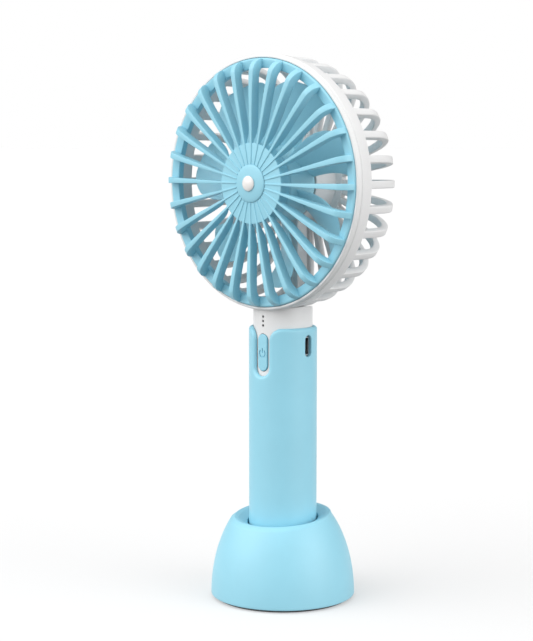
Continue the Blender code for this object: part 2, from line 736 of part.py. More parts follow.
def front_rib_curves():
    """The bulging front edge of a rib and its back edge, from the rim to the boss."""
    turn_radius = GRILLE_RADIUS - 0.1 * MM - RIB_CORNER
    turn_depth = RIB_CREST + RIB_CORNER
    flat_back = RIB_CREST + RIB_DEPTH
    front = [(turn_radius + RIB_CORNER, turn_depth + 1.4 * MM)]
    front += arc((turn_radius, turn_depth), RIB_CORNER, 0, -90, 3)
    back = [
        (GRILLE_INNER + 1.2 * MM, turn_depth + 1.4 * MM),
        (GRILLE_INNER + 1.0 * MM, turn_depth + 0.4 * MM),
        (GRILLE_INNER - 0.1 * MM, turn_depth - 0.5 * MM),
        (turn_radius + 0.3 * MM, flat_back + 0.3 * MM),
        (turn_radius - 1.5 * MM, flat_back),
    ]
    front += [
        (turn_radius - 8 * MM, RIB_CREST - 0.2 * MM),
        (HUB_RADIUS + 6 * MM, RIB_CREST + 0.1 * MM),
        (HUB_RADIUS - 0.5 * MM, HUB_FACE - 0.3 * MM),
        (BOSS_RADIUS + GAP, HUB_FACE - 0.3 * MM),
    ]
    back += [
        (turn_radius - 8 * MM, flat_back),
        (HUB_RADIUS + 6 * MM, flat_back + 0.1 * MM),
        (HUB_RADIUS - 0.5 * MM, HUB_FACE + 0.9 * MM),
        (BOSS_RADIUS + GAP, HUB_FACE + 0.6 * MM),
    ]
    return front, back


def make_front_grille():
    """Rim ring, hub cup and ribs, one moulding."""
    edge = 0.8 * MM
    skirt = IMPELLER_FRONT - 0.5 * MM
    rim = [
        (GRILLE_INNER, GRILLE_BACK),
        (GRILLE_RADIUS, GRILLE_BACK),
        (GRILLE_RADIUS, GRILLE_FACE + edge),
        (GRILLE_RADIUS - edge, GRILLE_FACE),
        (GRILLE_INNER, GRILLE_FACE + 0.6 * MM),
    ]
    hub = [
        (2.2 * MM, HUB_FACE),
        (HUB_RADIUS, HUB_FACE),
        (HUB_RADIUS - 0.3 * MM, skirt),
        (HUB_RADIUS - 1.7 * MM, skirt),
        (HUB_RADIUS - 1.5 * MM, HUB_FACE + 1.4 * MM),
        (2.2 * MM, HUB_FACE + 1.4 * MM),
    ]
    shape = add_turned(bmesh.new(), rim, centre=HEAD_CENTRE, along="Y", steps=2 * FRONT_RIBS)
    add_turned(shape, hub, centre=HEAD_CENTRE, along="Y", steps=FRONT_RIBS)
    grille = as_object("front_grille", shape, "sky_blue_plastic")
    ribs = bmesh.new()
    front, back = front_rib_curves()
    for index in range(FRONT_RIBS):
        angle = FRONT_RIB_START + TURN * index / FRONT_RIBS
        add_rib(ribs, angle, front, back, front_rib_half_width)
    return join(grille, as_object("front_ribs", ribs))


def dome_arc(radius, base, rise):
    """Points of a shallow dome that bulges forward from its base, rim first."""
    angles = [math.radians(degrees) for degrees in range(0, 80, 20)]
    return [(radius * math.cos(angle), base - rise * math.sin(angle)) for angle in angles]


def make_hub_trim():
    """The domed boss on the grille's hub and the pearl bead in its middle."""
    base = HUB_FACE - 0.2 * MM
    peg = 1.9 * MM
    hole = 1.1 * MM
    seat = base - BOSS_RISE
    back = base + 3.4 * MM
    profile = [(hole, back), (peg, back), (peg, base)]
    profile += dome_arc(BOSS_RADIUS, base, BOSS_RISE) + [(hole, seat)]
    turned("hub_boss", profile, "sky_blue_plastic", centre=HEAD_CENTRE, along="Y", steps=24)
    bead_base = seat - 0.15 * MM
    stem = hole - 0.2 * MM
    back = base + 2.6 * MM
    profile = [(0, back), (stem, back), (stem, bead_base)] + dome_arc(BEAD_RADIUS, bead_base, BEAD_RISE)
    profile.append((0, bead_base - BEAD_RISE))
    turned("pearl_bead", profile, "pearl_white", centre=HEAD_CENTRE, along="Y", steps=SMALL_STEPS)


def rear_rib_curves():
    """The outer and inner edge of a rear rib, from the band round to the rear disc."""
    centre = (CAGE_RADIUS - CAGE_CORNER, CAGE_BACK - CAGE_CORNER)
    inner_corner = CAGE_CORNER - REAR_RIB_DEPTH
    root = BAND_BACK - 1.5 * MM
    end = REAR_DISC_RADIUS - 1.2 * MM
    outer = [(CAGE_RADIUS + 0.15 * MM, root)] + arc(centre, CAGE_CORNER, 0, 90, 4)
    inner = [(BAND_INNER + 0.4 * MM, root)] + arc(centre, inner_corner, 0, 90, 4)
    outer.append((end, CAGE_BACK))
    inner.append((end, CAGE_BACK - REAR_RIB_DEPTH))
    return outer, inner


def rear_rib_half_width(radius):
    """Ribs are 3 mm wide and narrow a little towards the rear disc."""
    share = (radius - REAR_DISC_RADIUS) / (CAGE_CORNER + 5 * MM)
    narrow = 2.3 * MM
    return (narrow + (REAR_RIB_WIDTH - narrow) * min(1, max(0, share))) / 2


def make_rear_cage():
    """Band, rear ribs, rear disc, motor pod and wiring spoke, one moulding."""
    lip = 0.35 * MM
    seat = GRILLE_BACK + GAP
    rebate = GRILLE_RADIUS + GAP
    band = [
        (BAND_INNER, seat),
        (rebate, seat),
        (rebate, BAND_FRONT),
        (BAND_RADIUS - 0.4 * MM - lip, BAND_FRONT),
        (BAND_RADIUS - 0.4 * MM, BAND_FRONT + lip),
        (BAND_RADIUS, BAND_FRONT + 1.3 * MM),
        (BAND_RADIUS - 0.3 * MM, BAND_BACK),
        (BAND_INNER, BAND_INNER_BACK),
    ]
    pod_floor = CAGE_BACK - REAR_RIB_DEPTH - 0.4 * MM
    disc_back = CAGE_BACK + 0.1 * MM
    tube_seat = BEARING_TUBE_RADIUS + 0.2 * MM
    disc = [
        (tube_seat, pod_floor - 6 * MM),
        (tube_seat + 1.8 * MM, pod_floor - 6 * MM),
        (tube_seat + 1.8 * MM, pod_floor),
        (POD_RADIUS - POD_WALL, pod_floor),
        (POD_RADIUS - POD_WALL, POD_FRONT),
        (POD_RADIUS, POD_FRONT),
        (POD_RADIUS, pod_floor),
        (REAR_DISC_RADIUS, pod_floor),
        (REAR_DISC_RADIUS, disc_back - 0.5 * MM),
        (REAR_DISC_RADIUS - 0.5 * MM, disc_back),
        (0, disc_back),
        (0, disc_back - 1.6 * MM),
        (tube_seat, disc_back - 1.6 * MM),
    ]
    shape = add_turned(bmesh.new(), band, centre=HEAD_CENTRE, along="Y", steps=2 * REAR_RIBS)
    add_turned(shape, disc, centre=HEAD_CENTRE, along="Y", steps=REAR_RIBS)
    cage = as_object("rear_cage", shape, "white_plastic")
    ribs = bmesh.new()
    outer, inner = rear_rib_curves()
    for index in range(REAR_RIBS):
        add_rib(ribs, TURN * index / REAR_RIBS, outer, inner, rear_rib_half_width)
    join(cage, as_object("rear_ribs", ribs))
    join(cage, make_neck_saddle())
    spoke_low = (-SPOKE_HALF_WIDTH, SPOKE_FRONT, HEAD_HEIGHT - BAND_INNER - 1 * MM)
    spoke_high = (SPOKE_HALF_WIDTH, SPOKE_BACK, HEAD_HEIGHT - POD_RADIUS + 0.7 * MM)
    join(cage, block("wiring_spoke", spoke_low, spoke_high))
    front = SPOKE_FRONT + SPOKE_WALL
    channel_low = (-LEAD_ROOM, front, HEAD_HEIGHT - BAND_RADIUS - 2 * MM)
    channel_high = (LEAD_ROOM, front + 2 * LEAD_ROOM, HEAD_HEIGHT - POD_RADIUS + 3 * MM)
    return cut(cage, block("wiring_channel", channel_low, channel_high))


def make_neck_saddle():
    """The patch of the head's barrel that the neck meets, following the band's curve."""
    reach = NECK_RADIUS

    def point(side, row, column):
        angle = TURN * row
        inset = 0.02 + 0.98 * column
        x = reach * inset * math.cos(angle)
        y = max(reach * inset * math.sin(angle), GRILLE_BACK + 2 * GAP)
        radius = BAND_RADIUS - 0.35 * MM if side == 0 else BAND_INNER + 0.25 * MM
        return Vector((x, y, HEAD_HEIGHT - math.sqrt(radius * radius - x * x)))

    saddle = bmesh.new()
    steps, rings = 32, 2
    layers = []
    for side in (0, 1):
        middle = saddle.verts.new(point(side, 0, -0.02 / 0.98))
        layers.append((middle, [
            [saddle.verts.new(point(side, step / steps, ring / rings)) for step in range(steps)]
            for ring in range(rings + 1)
        ]))
    for middle, grid in layers:
        for step in range(steps):
            after = (step + 1) % steps
            saddle.faces.new([middle, grid[0][step], grid[0][after]])
            for ring in range(rings):
                near, far = grid[ring], grid[ring + 1]
                saddle.faces.new([near[step], far[step], far[after], near[after]])
    lower, upper = layers[0][1][-1], layers[1][1][-1]
    for step in range(steps):
        after = (step + 1) % steps
        saddle.faces.new([lower[step], lower[after], upper[after], upper[step]])
    return as_object("neck_saddle", saddle)


# ---------------------------------------------------------------- impeller and motor
def blade_point(angle):
    """The surface of one blade: side, root to tip, and front edge to back edge."""
    root = IMPELLER_RADIUS - 0.7 * MM

    def point(side, row, column):
        rounding = 4.0 * MM * abs(2 * column - 1) ** 6
        radius = root + row * (BLADE_TIP - rounding - root)
        outward = (radius - root) / (BLADE_TIP - root)
        around = angle + BLADE_SWEEP * outward ** 2.5 + BLADE_SPAN * (1 - 0.1 * outward) * column
        camber = 0.8 * MM * math.sin(math.pi * column)
        thickness = BLADE_THICKNESS * (1 - 0.35 * outward) * (0.55 + 0.45 * math.sin(math.pi * column))
        depth = BLADE_FRONT + (BLADE_BACK - BLADE_FRONT) * column - camber
        depth += thickness * (side - 0.5)
        return HEAD_CENTRE + Vector((radius * math.sin(around), depth, radius * math.cos(around)))

    return point


def make_impeller():
    """The hub cup and its petal blades, one moulding."""
    edge = 1.0 * MM
    corner = arc((IMPELLER_RADIUS - edge, -IMPELLER_FRONT - edge), edge, 90, 0, 3)
    profile = [(SHAFT_BORE, IMPELLER_FRONT)]
    profile += [(radius, -depth) for radius, depth in corner]
    profile += [
        (IMPELLER_RADIUS, IMPELLER_BACK),
        (IMPELLER_RADIUS - IMPELLER_WALL, IMPELLER_BACK),
        (IMPELLER_RADIUS - IMPELLER_WALL, IMPELLER_FRONT + IMPELLER_FACE),
        (SHAFT_BORE, IMPELLER_FRONT + IMPELLER_FACE),
    ]
    shape = add_turned(bmesh.new(), profile, centre=HEAD_CENTRE, along="Y")
    impeller = as_object("impeller", shape, "sky_blue_plastic", HEAD_CENTRE)
    blades = bmesh.new()
    for index in range(BLADES):
        add_slab(blades, 4, 6, blade_point(BLADE_START + TURN * index / BLADES))
    return join(impeller, as_object("impeller_blades", blades))


def spinning(name, profile, material, steps=ROUND_STEPS):
    """A turned piece of the rotor, with its origin on the impeller's axis."""
    shape = add_turned(bmesh.new(), profile, centre=HEAD_CENTRE, along="Y", steps=steps)
    return as_object(name, shape, material, HEAD_CENTRE)


def make_rotor():
    """The steel cup pressed into the impeller, its magnet ring and the shaft."""
    cup_outer = IMPELLER_RADIUS - IMPELLER_WALL - GAP
    cup_inner = cup_outer - ROTOR_WALL
    cup_front = IMPELLER_FRONT + IMPELLER_FACE + GAP
    cup_back = IMPELLER_BACK - 0.6 * MM
    cup = [
        (SHAFT_BORE, cup_front),
        (cup_outer, cup_front),
        (cup_outer, cup_back),
        (cup_inner, cup_back),
        (cup_inner, cup_front + ROTOR_WALL),
        (SHAFT_BORE, cup_front + ROTOR_WALL),
    ]
    spinning("rotor_cup", cup, "plated_steel")
    magnet_outer = cup_inner - GAP
    magnet = ring_profile(magnet_outer - MAGNET_THICKNESS, magnet_outer, MAGNET_FRONT, MAGNET_BACK)
    spinning("rotor_magnet", magnet, "magnet")
    shaft_back = CAGE_BACK - 3.2 * MM
    shaft = disc_profile(SHAFT_RADIUS, IMPELLER_FRONT + 0.3 * MM, shaft_back)
    spinning("motor_shaft", shaft, "plated_steel", 20)
    washer = ring_profile(SHAFT_BORE, 1.9 * MM, shaft_back - 1.3 * MM, shaft_back - 0.8 * MM)
    spinning("shaft_retaining_washer", washer, "plated_steel", 20)


def stator_outline(root, tip, tooth_half_width, face_half_angle):
    """A star of teeth with wide faces, seen along the motor's axis."""
    points = []
    for tooth in range(STATOR_TEETH):
        middle = TURN * tooth / STATOR_TEETH
        neck = tip - 1.3 * MM
        local = [
            (root, -tooth_half_width),
            (neck, -tooth_half_width),
        ]
        local += [(tip * math.cos(angle), tip * math.sin(angle)) for angle in
                  [face_half_angle * share for share in (-1, -0.5, 0, 0.5, 1)]]
        local += [(neck, tooth_half_width), (root, tooth_half_width)]
        spin = Matrix.Rotation(middle, 2)
        points += [tuple(spin @ Vector(point)) for point in local]
    return points


def add_tooth_block(mesh_data, inner, outer, margin, spin):
    """A block round one tooth, larger than the tooth by a margin on four sides."""
    half = TOOTH_HALF_WIDTH + margin
    low = (inner, STATOR_FRONT - margin, -half)
    high = (outer, STATOR_BACK + margin, half)
    return add_block(mesh_data, low, high, spin)


def make_stator():
    """The laminated core and the copper winding round its teeth."""
    star = stator_outline(STATOR_YOKE, STATOR_RADIUS, TOOTH_HALF_WIDTH, math.radians(24))
    stack = add_prism(bmesh.new(), star, STATOR_FRONT, STATOR_BACK, facing_front(HEAD_HEIGHT))
    core = as_object("stator_core", stack, "plated_steel")
    hole = disc_profile(BEARING_TUBE_RADIUS + 0.2 * MM, STATOR_FRONT - 1 * MM, STATOR_BACK + 1 * MM)
    cut(core, turned("stator_bore_cutter", hole, centre=HEAD_CENTRE, along="Y", steps=SMALL_STEPS))
    coils = bmesh.new()
    holes = bmesh.new()
    for index in range(STATOR_TEETH):
        spin = Matrix.Translation(HEAD_CENTRE) @ Matrix.Rotation(TURN * index / STATOR_TEETH, 4, "Y")
        add_tooth_block(coils, COIL_INNER, COIL_OUTER, COIL_BUILD, spin)
        add_tooth_block(holes, BEARING_TUBE_RADIUS, STATOR_RADIUS + 1 * MM, 0.25 * MM, spin)
    ring_back = STATOR_BACK + COIL_BUILD + 0.6 * MM
    end_ring = ring_profile(COIL_INNER + 0.2 * MM, COIL_OUTER - 0.6 * MM, STATOR_BACK + 0.5 * MM, ring_back)
    winding = turned("stator_winding", end_ring, "copper_wire", centre=HEAD_CENTRE, along="Y", steps=36)
    join(winding, as_object("winding_coils", coils))
    cut(winding, as_object("winding_tooth_cutter", holes))


def make_motor_mount():
    """The brass bearing tube, its two bearings and the motor's board."""
    tube_back = CAGE_BACK - REAR_RIB_DEPTH - 0.8 * MM
    bore = BEARING_RADIUS + 0.15 * MM
    tube = ring_profile(bore, BEARING_TUBE_RADIUS, BEARING_TUBE_FRONT, tube_back)
    turned("bearing_tube", tube, "brass", centre=HEAD_CENTRE, along="Y", steps=SMALL_STEPS)
    places = {
        "front_bearing": BEARING_TUBE_FRONT + 0.4 * MM,
        "rear_bearing": tube_back - 2 * BEARING_LENGTH,
    }
    for name, start in places.items():
        ring = ring_profile(SHAFT_BORE, BEARING_RADIUS, start, start + BEARING_LENGTH)
        turned(name, ring, "plated_steel", centre=HEAD_CENTRE, along="Y", steps=SMALL_STEPS)
    board_back = MOTOR_BOARD_FRONT + 1.0 * MM
    board_outer = POD_RADIUS - POD_WALL - GAP
    board = ring_profile(BEARING_TUBE_RADIUS + GAP, board_outer, MOTOR_BOARD_FRONT, board_back)
    turned("motor_board", board, "green_board", centre=HEAD_CENTRE, along="Y", steps=36)


def make_leads():
    """Two leads from the motor's board, down the wiring spoke to the control board."""
    depth = SPOKE_FRONT + SPOKE_WALL + LEAD_ROOM
    top = HEAD_HEIGHT - POD_RADIUS + 2.4 * MM
    bottom = LIGHT_HEIGHTS[-1] + 3.0 * MM
    for name, side, material in (("motor_lead_red", -1, "red_wire"), ("motor_lead_black", 1, "black_wire")):
        across = side * LEAD_SPACING / 2
        lead = disc_profile(LEAD_RADIUS, bottom, top)
        turned(name, lead, material, centre=(across, depth, 0), steps=10)


def make_head():
    make_front_grille()
    make_hub_trim()
    make_rear_cage()
    make_impeller()
    make_rotor()
    make_stator()
    make_motor_mount()
    make_leads()


clear_scene()
make_stand()
make_handle()
make_head()
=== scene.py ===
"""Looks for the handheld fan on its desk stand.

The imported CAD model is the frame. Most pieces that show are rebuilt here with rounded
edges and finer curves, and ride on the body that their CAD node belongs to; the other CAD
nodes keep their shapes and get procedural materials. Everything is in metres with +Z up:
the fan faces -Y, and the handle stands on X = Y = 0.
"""
import json
import math

import bmesh
import bpy
from mathutils import Matrix, Vector


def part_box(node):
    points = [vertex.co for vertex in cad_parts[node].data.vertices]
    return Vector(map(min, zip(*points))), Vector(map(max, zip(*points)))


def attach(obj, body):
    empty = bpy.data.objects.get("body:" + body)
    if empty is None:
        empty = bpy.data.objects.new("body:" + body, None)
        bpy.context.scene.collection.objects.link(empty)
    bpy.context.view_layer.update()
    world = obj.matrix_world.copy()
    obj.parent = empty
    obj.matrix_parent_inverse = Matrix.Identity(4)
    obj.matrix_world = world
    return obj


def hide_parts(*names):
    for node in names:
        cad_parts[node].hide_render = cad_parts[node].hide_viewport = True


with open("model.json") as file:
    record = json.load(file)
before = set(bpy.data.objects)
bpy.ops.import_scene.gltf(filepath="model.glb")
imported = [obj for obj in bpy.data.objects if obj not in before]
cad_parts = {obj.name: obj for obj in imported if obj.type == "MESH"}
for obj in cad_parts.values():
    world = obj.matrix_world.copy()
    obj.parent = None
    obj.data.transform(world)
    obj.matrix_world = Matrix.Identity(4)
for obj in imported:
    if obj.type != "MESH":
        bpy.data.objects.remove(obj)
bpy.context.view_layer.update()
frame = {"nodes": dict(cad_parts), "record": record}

MM = 0.001
TURN = 2 * math.pi
SHARP_ANGLE = 35                        # degrees, above which an edge is shaded as a crease

# ---------------------------------------------------------------- sizes shared with the CAD
SHELL_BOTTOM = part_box("stand_shell")[0].z
HANDLE_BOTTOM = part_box("handle_end_cap")[0].z
HANDLE_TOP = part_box("handle_sleeve")[1].z
BAND_RADIUS = 50.9 * MM
HEAD_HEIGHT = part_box("rear_cage")[1].z - BAND_RADIUS
HEAD_CENTRE = Vector((0, 0, HEAD_HEIGHT))

STAND_RADIUS = 29.45 * MM
DOME_RISE = 45.0 * MM                   # upright half axis of the ellipse that the dome follows
DOME_WALL = 2.2 * MM
CREST_HEIGHT = SHELL_BOTTOM + 32.9 * MM
CREST_SLOPE = 0.085                     # the dome's top is cut on a slant, higher at the back
CREST_RADIUS = 19.7 * MM
SOCKET_RADIUS = 14.4 * MM
SOCKET_FLOOR = SHELL_BOTTOM + 5.4 * MM
SOCKET_WALL = 1.6 * MM
SOCKET_FLOOR_THICKNESS = 1.8 * MM
FOOT_TOP = 0.8 * MM
FOOT_INNER = 21.3 * MM
FOOT_OUTER = STAND_RADIUS - 2.0 * MM

HANDLE_RADIUS = 13.83 * MM
NECK_RADIUS = 12.02 * MM
NECK_WALL = 1.6 * MM
SLEEVE_BORE = NECK_RADIUS + 0.3 * MM
SLEEVE_BEVEL = 1.35 * MM
SLEEVE_BOTTOM = HANDLE_BOTTOM + 1.5 * MM
END_CAP_TOP = HANDLE_BOTTOM + 1.2 * MM
NOTCH_HALF_WIDTH = 3.45 * MM
NOTCH_BOTTOM = SHELL_BOTTOM + 91.0 * MM
NOTCH_CORNER = 5.0 * MM
BUTTON_WIDTH = 4.9 * MM
BUTTON_LENGTH = 14.9 * MM
BUTTON_HEIGHT = SHELL_BOTTOM + 100.55 * MM
BUTTON_FACE = 12.45 * MM
BUTTON_FLANGE_FRONT = 9.3 * MM
BUTTON_FLANGE_BACK = 8.1 * MM
SIGN_DEPTH = 0.4 * MM
PORT_HEIGHT = SHELL_BOTTOM + 103.1 * MM
PORT_WIDTH = 3.7 * MM
PORT_LENGTH = 8.7 * MM
LIGHT_HEIGHTS = [sum(corner.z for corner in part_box(f"light_pipe_{n}")) / 2 for n in (1, 2, 3)]
LIGHT_RADIUS = 0.475 * MM
LIGHT_BACK = 9.0 * MM

GRILLE_RADIUS = 49.0 * MM
GRILLE_INNER = 45.2 * MM
GRILLE_FACE = -14.8 * MM
GRILLE_BACK = -11.5 * MM
FRONT_RIBS = 28
FRONT_RIB_START = math.radians(-0.8)    # the grille is seated a little turned in its rim
RIB_CREST = -19.9 * MM
RIB_CORNER = 5.7 * MM
RIB_DEPTH = 3.9 * MM
HUB_RADIUS = 16.0 * MM
HUB_FACE = -19.3 * MM
BOSS_RADIUS = 7.5 * MM
BOSS_RISE = 1.1 * MM
BEAD_RADIUS = 3.05 * MM
BEAD_RISE = 1.1 * MM
BAND_INNER = 47.3 * MM
BAND_FRONT = -14.07 * MM
BAND_BACK = -6.2 * MM
BAND_INNER_BACK = -4.1 * MM
REAR_RIBS = 32
REAR_RIB_WIDTH = 3.0 * MM
REAR_RIB_NARROW = 2.3 * MM
REAR_RIB_DEPTH = 2.9 * MM
CAGE_RADIUS = 50.3 * MM
CAGE_CORNER = 15.0 * MM
CAGE_BACK = 18.0 * MM
REAR_DISC_RADIUS = 18.5 * MM
POD_RADIUS = 15.3 * MM
POD_FRONT = 2.8 * MM
POD_WALL = 1.4 * MM
BLADES = 7
BLADE_TIP = 42.0 * MM
BLADE_THICKNESS = 1.3 * MM
BLADE_FRONT = -9.0 * MM
BLADE_BACK = 1.0 * MM
BLADE_START = math.radians(98.0)        # where the first blade's front edge leaves the hub
BLADE_SWEEP = math.radians(16)          # how far the front edge runs ahead at the tip
BLADE_SPAN = math.radians(34)           # the angle that a blade covers at its root
IMPELLER_RADIUS = 15.5 * MM
IMPELLER_FRONT = -12.9 * MM
IMPELLER_BACK = 1.5 * MM


# ---------------------------------------------------------------- materials
def node_tree(name):
    """A new node material. Returns it with its nodes, links and Principled shader."""
    material = bpy.data.materials.new(name)
    material.use_nodes = True
    nodes = material.node_tree.nodes
    return material, nodes, material.node_tree.links, nodes["Principled BSDF"]


def texture(nodes, links, kind, scale, **values):
    """A procedural texture in object space."""
    place = nodes.new("ShaderNodeTexCoord")
    made = nodes.new(kind)
    made.inputs["Scale"].default_value = scale
    for socket, value in values.items():
        made.inputs[socket].default_value = value
    links.new(place.outputs["Object"], made.inputs["Vector"])
    return made


def ramp(nodes, links, source, stops):
    """Colours spread over a texture's 0 to 1."""
    made = nodes.new("ShaderNodeValToRGB")
    elements = made.color_ramp.elements
    while len(elements) < len(stops):
        elements.new(0.5)
    for element, (position, colour) in zip(elements, stops):
        element.position = position
        element.color = (*colour, 1)
    links.new(source, made.inputs["Fac"])
    return made.outputs["Color"]


def spread(nodes, links, source, low, high):
    """A number that runs from low to high over a texture's 0 to 1."""
    made = nodes.new("ShaderNodeMapRange")
    made.inputs["To Min"].default_value = low
    made.inputs["To Max"].default_value = high
    links.new(source, made.inputs["Value"])
    return made.outputs["Result"]


def bump(nodes, links, source, depth, shader):
    """Relief on the shader, as deep as given where the texture is 1."""
    made = nodes.new("ShaderNodeBump")
    made.inputs["Strength"].default_value = 1.0
    made.inputs["Distance"].default_value = depth
    links.new(source, made.inputs["Height"])
    links.new(made.outputs["Normal"], shader.inputs["Normal"])


def scaled(colour, by):
    """A colour made lighter or darker."""
    return tuple(min(1.0, part * by) for part in colour)


def moulded_plastic(name, colour, roughness, mottle=0.02, grain=2600, depth=0.006 * MM, coat=0.0):
    """Injection-moulded plastic: a faint cloudy colour, and a fine spark-eroded grain."""
    material, nodes, links, shader = node_tree(name)
    cloud = texture(nodes, links, "ShaderNodeTexNoise", 70, Detail=4.0, Roughness=0.55)
    stops = [(0.3, scaled(colour, 1 - mottle)), (0.7, scaled(colour, 1 + mottle))]
    links.new(ramp(nodes, links, cloud.outputs["Fac"], stops), shader.inputs["Base Color"])
    fine = texture(nodes, links, "ShaderNodeTexNoise", grain, Detail=2.0)
    rough = spread(nodes, links, fine.outputs["Fac"], roughness - 0.04, roughness + 0.04)
    links.new(rough, shader.inputs["Roughness"])
    bump(nodes, links, fine.outputs["Fac"], depth, shader)
    if coat:
        shader.inputs["Coat Weight"].default_value = coat
        shader.inputs["Coat Roughness"].default_value = 0.12
    return material


def metal(name, colour, roughness, grain=(900, 900, 60)):
    """Plated or drawn metal with fine lines along its working direction."""
    material, nodes, links, shader = node_tree(name)
    shader.inputs["Metallic"].default_value = 1.0
    place = nodes.new("ShaderNodeTexCoord")
    stretch = nodes.new("ShaderNodeMapping")
    stretch.inputs["Scale"].default_value = grain
    lines = nodes.new("ShaderNodeTexNoise")
    lines.inputs["Scale"].default_value = 1.0
    lines.inputs["Detail"].default_value = 3.0
    links.new(place.outputs["Object"], stretch.inputs["Vector"])
    links.new(stretch.outputs["Vector"], lines.inputs["Vector"])
    stops = [(0.25, scaled(colour, 0.88)), (0.75, scaled(colour, 1.06))]
    links.new(ramp(nodes, links, lines.outputs["Fac"], stops), shader.inputs["Base Color"])
    rough = spread(nodes, links, lines.outputs["Fac"], roughness - 0.08, roughness + 0.08)
    links.new(rough, shader.inputs["Roughness"])
    bump(nodes, links, lines.outputs["Fac"], 0.004 * MM, shader)
    return material


def rubber():
    """Matte foot rubber with a coarse pebbled skin."""
    material, nodes, links, shader = node_tree("foot_rubber")
    pebbles = texture(nodes, links, "ShaderNodeTexVoronoi", 1400)
    stops = [(0.0, (0.05, 0.05, 0.055)), (1.0, (0.085, 0.085, 0.09))]
    links.new(ramp(nodes, links, pebbles.outputs["Distance"], stops), shader.inputs["Base Color"])
    links.new(spread(nodes, links, pebbles.outputs["Distance"], 0.75, 0.95), shader.inputs["Roughness"])
    bump(nodes, links, pebbles.outputs["Distance"], 0.03 * MM, shader)
    return material


def circuit_board():
    """Green solder mask with copper tracks showing faintly through it."""
    material, nodes, links, shader = node_tree("green_board")
    tracks = texture(nodes, links, "ShaderNodeTexBrick", 300)
    tracks.inputs["Color1"].default_value = (0.015, 0.16, 0.07, 1)
    tracks.inputs["Color2"].default_value = (0.02, 0.20, 0.085, 1)
    tracks.inputs["Mortar"].default_value = (0.05, 0.30, 0.13, 1)
    links.new(tracks.outputs["Color"], shader.inputs["Base Color"])
    links.new(spread(nodes, links, tracks.outputs["Fac"], 0.25, 0.4), shader.inputs["Roughness"])
    bump(nodes, links, tracks.outputs["Fac"], 0.02 * MM, shader)
    return material


def wound_copper():
    """Enamelled wire lying turn beside turn."""
    material, nodes, links, shader = node_tree("copper_wire")
    shader.inputs["Metallic"].default_value = 0.9
    turns = texture(nodes, links, "ShaderNodeTexWave", 900, Distortion=0.6, Detail=1.0)
    turns.bands_direction = "Z"
    stops = [(0.2, (0.30, 0.10, 0.04)), (0.8, (0.78, 0.36, 0.18))]
    links.new(ramp(nodes, links, turns.outputs["Fac"], stops), shader.inputs["Base Color"])
    links.new(spread(nodes, links, turns.outputs["Fac"], 0.45, 0.25), shader.inputs["Roughness"])
    bump(nodes, links, turns.outputs["Fac"], 0.08 * MM, shader)
    return material


SKY_BLUE = (0.275, 0.590, 0.715)
# The impeller's copy of the sky-blue plastic, made lighter and greyer: painted light standing in for the
# pale light inside the head.
PAINTED_LIGHT_BLADE_BLUE = (0.360, 0.680, 0.790)
WHITE = (0.72, 0.72, 0.72)
PEARL = (0.79, 0.77, 0.75)
BLACK = (0.012, 0.012, 0.013)
SMOKE = (0.012, 0.012, 0.015)
STEEL = (0.60, 0.60, 0.61)
BRASS = (0.78, 0.60, 0.30)
FERRITE = (0.06, 0.06, 0.065)
WRAP_BLUE = (0.06, 0.20, 0.52)
WIRE_RED = (0.60, 0.03, 0.03)
WIRE_BLACK = (0.02, 0.02, 0.02)
FINE = 0.001 * MM
COARSE = 0.02 * MM
MATERIALS = {
    "sky_blue_plastic": moulded_plastic("sky_blue_plastic", SKY_BLUE, 0.42),
    # Painted light: the impeller is the same sky-blue plastic, drawn lighter and greyer.
    "blade_plastic_painted_light": moulded_plastic("blade_plastic_painted_light", PAINTED_LIGHT_BLADE_BLUE, 0.36, grain=3400),
    "white_plastic": moulded_plastic("white_plastic", WHITE, 0.38, mottle=0.01),
    "pearl_white": moulded_plastic("pearl_white", PEARL, 0.16, mottle=0.01, depth=FINE, coat=0.8),
    "black_plastic": moulded_plastic("black_plastic", BLACK, 0.45),
    "smoked_plastic": moulded_plastic("smoked_plastic", SMOKE, 0.45),
    "foot_rubber": rubber(),
    "plated_steel": metal("plated_steel", STEEL, 0.30),
    "brass": metal("brass", BRASS, 0.30),
    "copper_wire": wound_copper(),
    "magnet": moulded_plastic("magnet", FERRITE, 0.60, mottle=0.2, grain=5000, depth=COARSE),
    "green_board": circuit_board(),
    "cell_wrap": moulded_plastic("cell_wrap", WRAP_BLUE, 0.30, coat=0.3),
    "red_wire": moulded_plastic("red_wire", WIRE_RED, 0.45),
    "black_wire": moulded_plastic("black_wire", WIRE_BLACK, 0.45),
}


# ---------------------------------------------------------------- shape helpers
def as_object(name, mesh_data, sharp=SHARP_ANGLE):
    """Put a bmesh into the scene as a smooth-shaded object."""
    bmesh.ops.recalc_face_normals(mesh_data, faces=mesh_data.faces)
    mesh = bpy.data.meshes.new(name)
    mesh_data.to_mesh(mesh)
    mesh_data.free()
    mesh.shade_smooth()
    mesh.set_sharp_from_angle(angle=math.radians(sharp))
    made = bpy.data.objects.new(name, mesh)
    bpy.context.scene.collection.objects.link(made)
    return made


def dress(piece, body, node, slot, finish=None):
    """Put a new piece on its body, give it the material of its slot, and hide the CAD node it stands for.

    The material is the slot's own, unless a finish is named.
    """
    piece.data.materials.clear()
    piece.data.materials.append(MATERIALS[finish or slot])
    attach(piece, body)
    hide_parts(node)
    return piece


def carve(piece, tool):
    """Cut a tool out of the piece and drop the tool."""
    modifier = piece.modifiers.new("cut", "BOOLEAN")
    modifier.operation = "DIFFERENCE"
    modifier.object = tool
    modifier.solver = "EXACT"
    graph = bpy.context.evaluated_depsgraph_get()
    cut_mesh = bpy.data.meshes.new_from_object(piece.evaluated_get(graph))
    piece.modifiers.clear()
    spare = piece.data
    piece.data = cut_mesh
    bpy.data.meshes.remove(spare)
    bpy.data.objects.remove(tool, do_unlink=True)
    cut_mesh.shade_smooth()
    cut_mesh.set_sharp_from_angle(angle=math.radians(SHARP_ANGLE))
    return piece


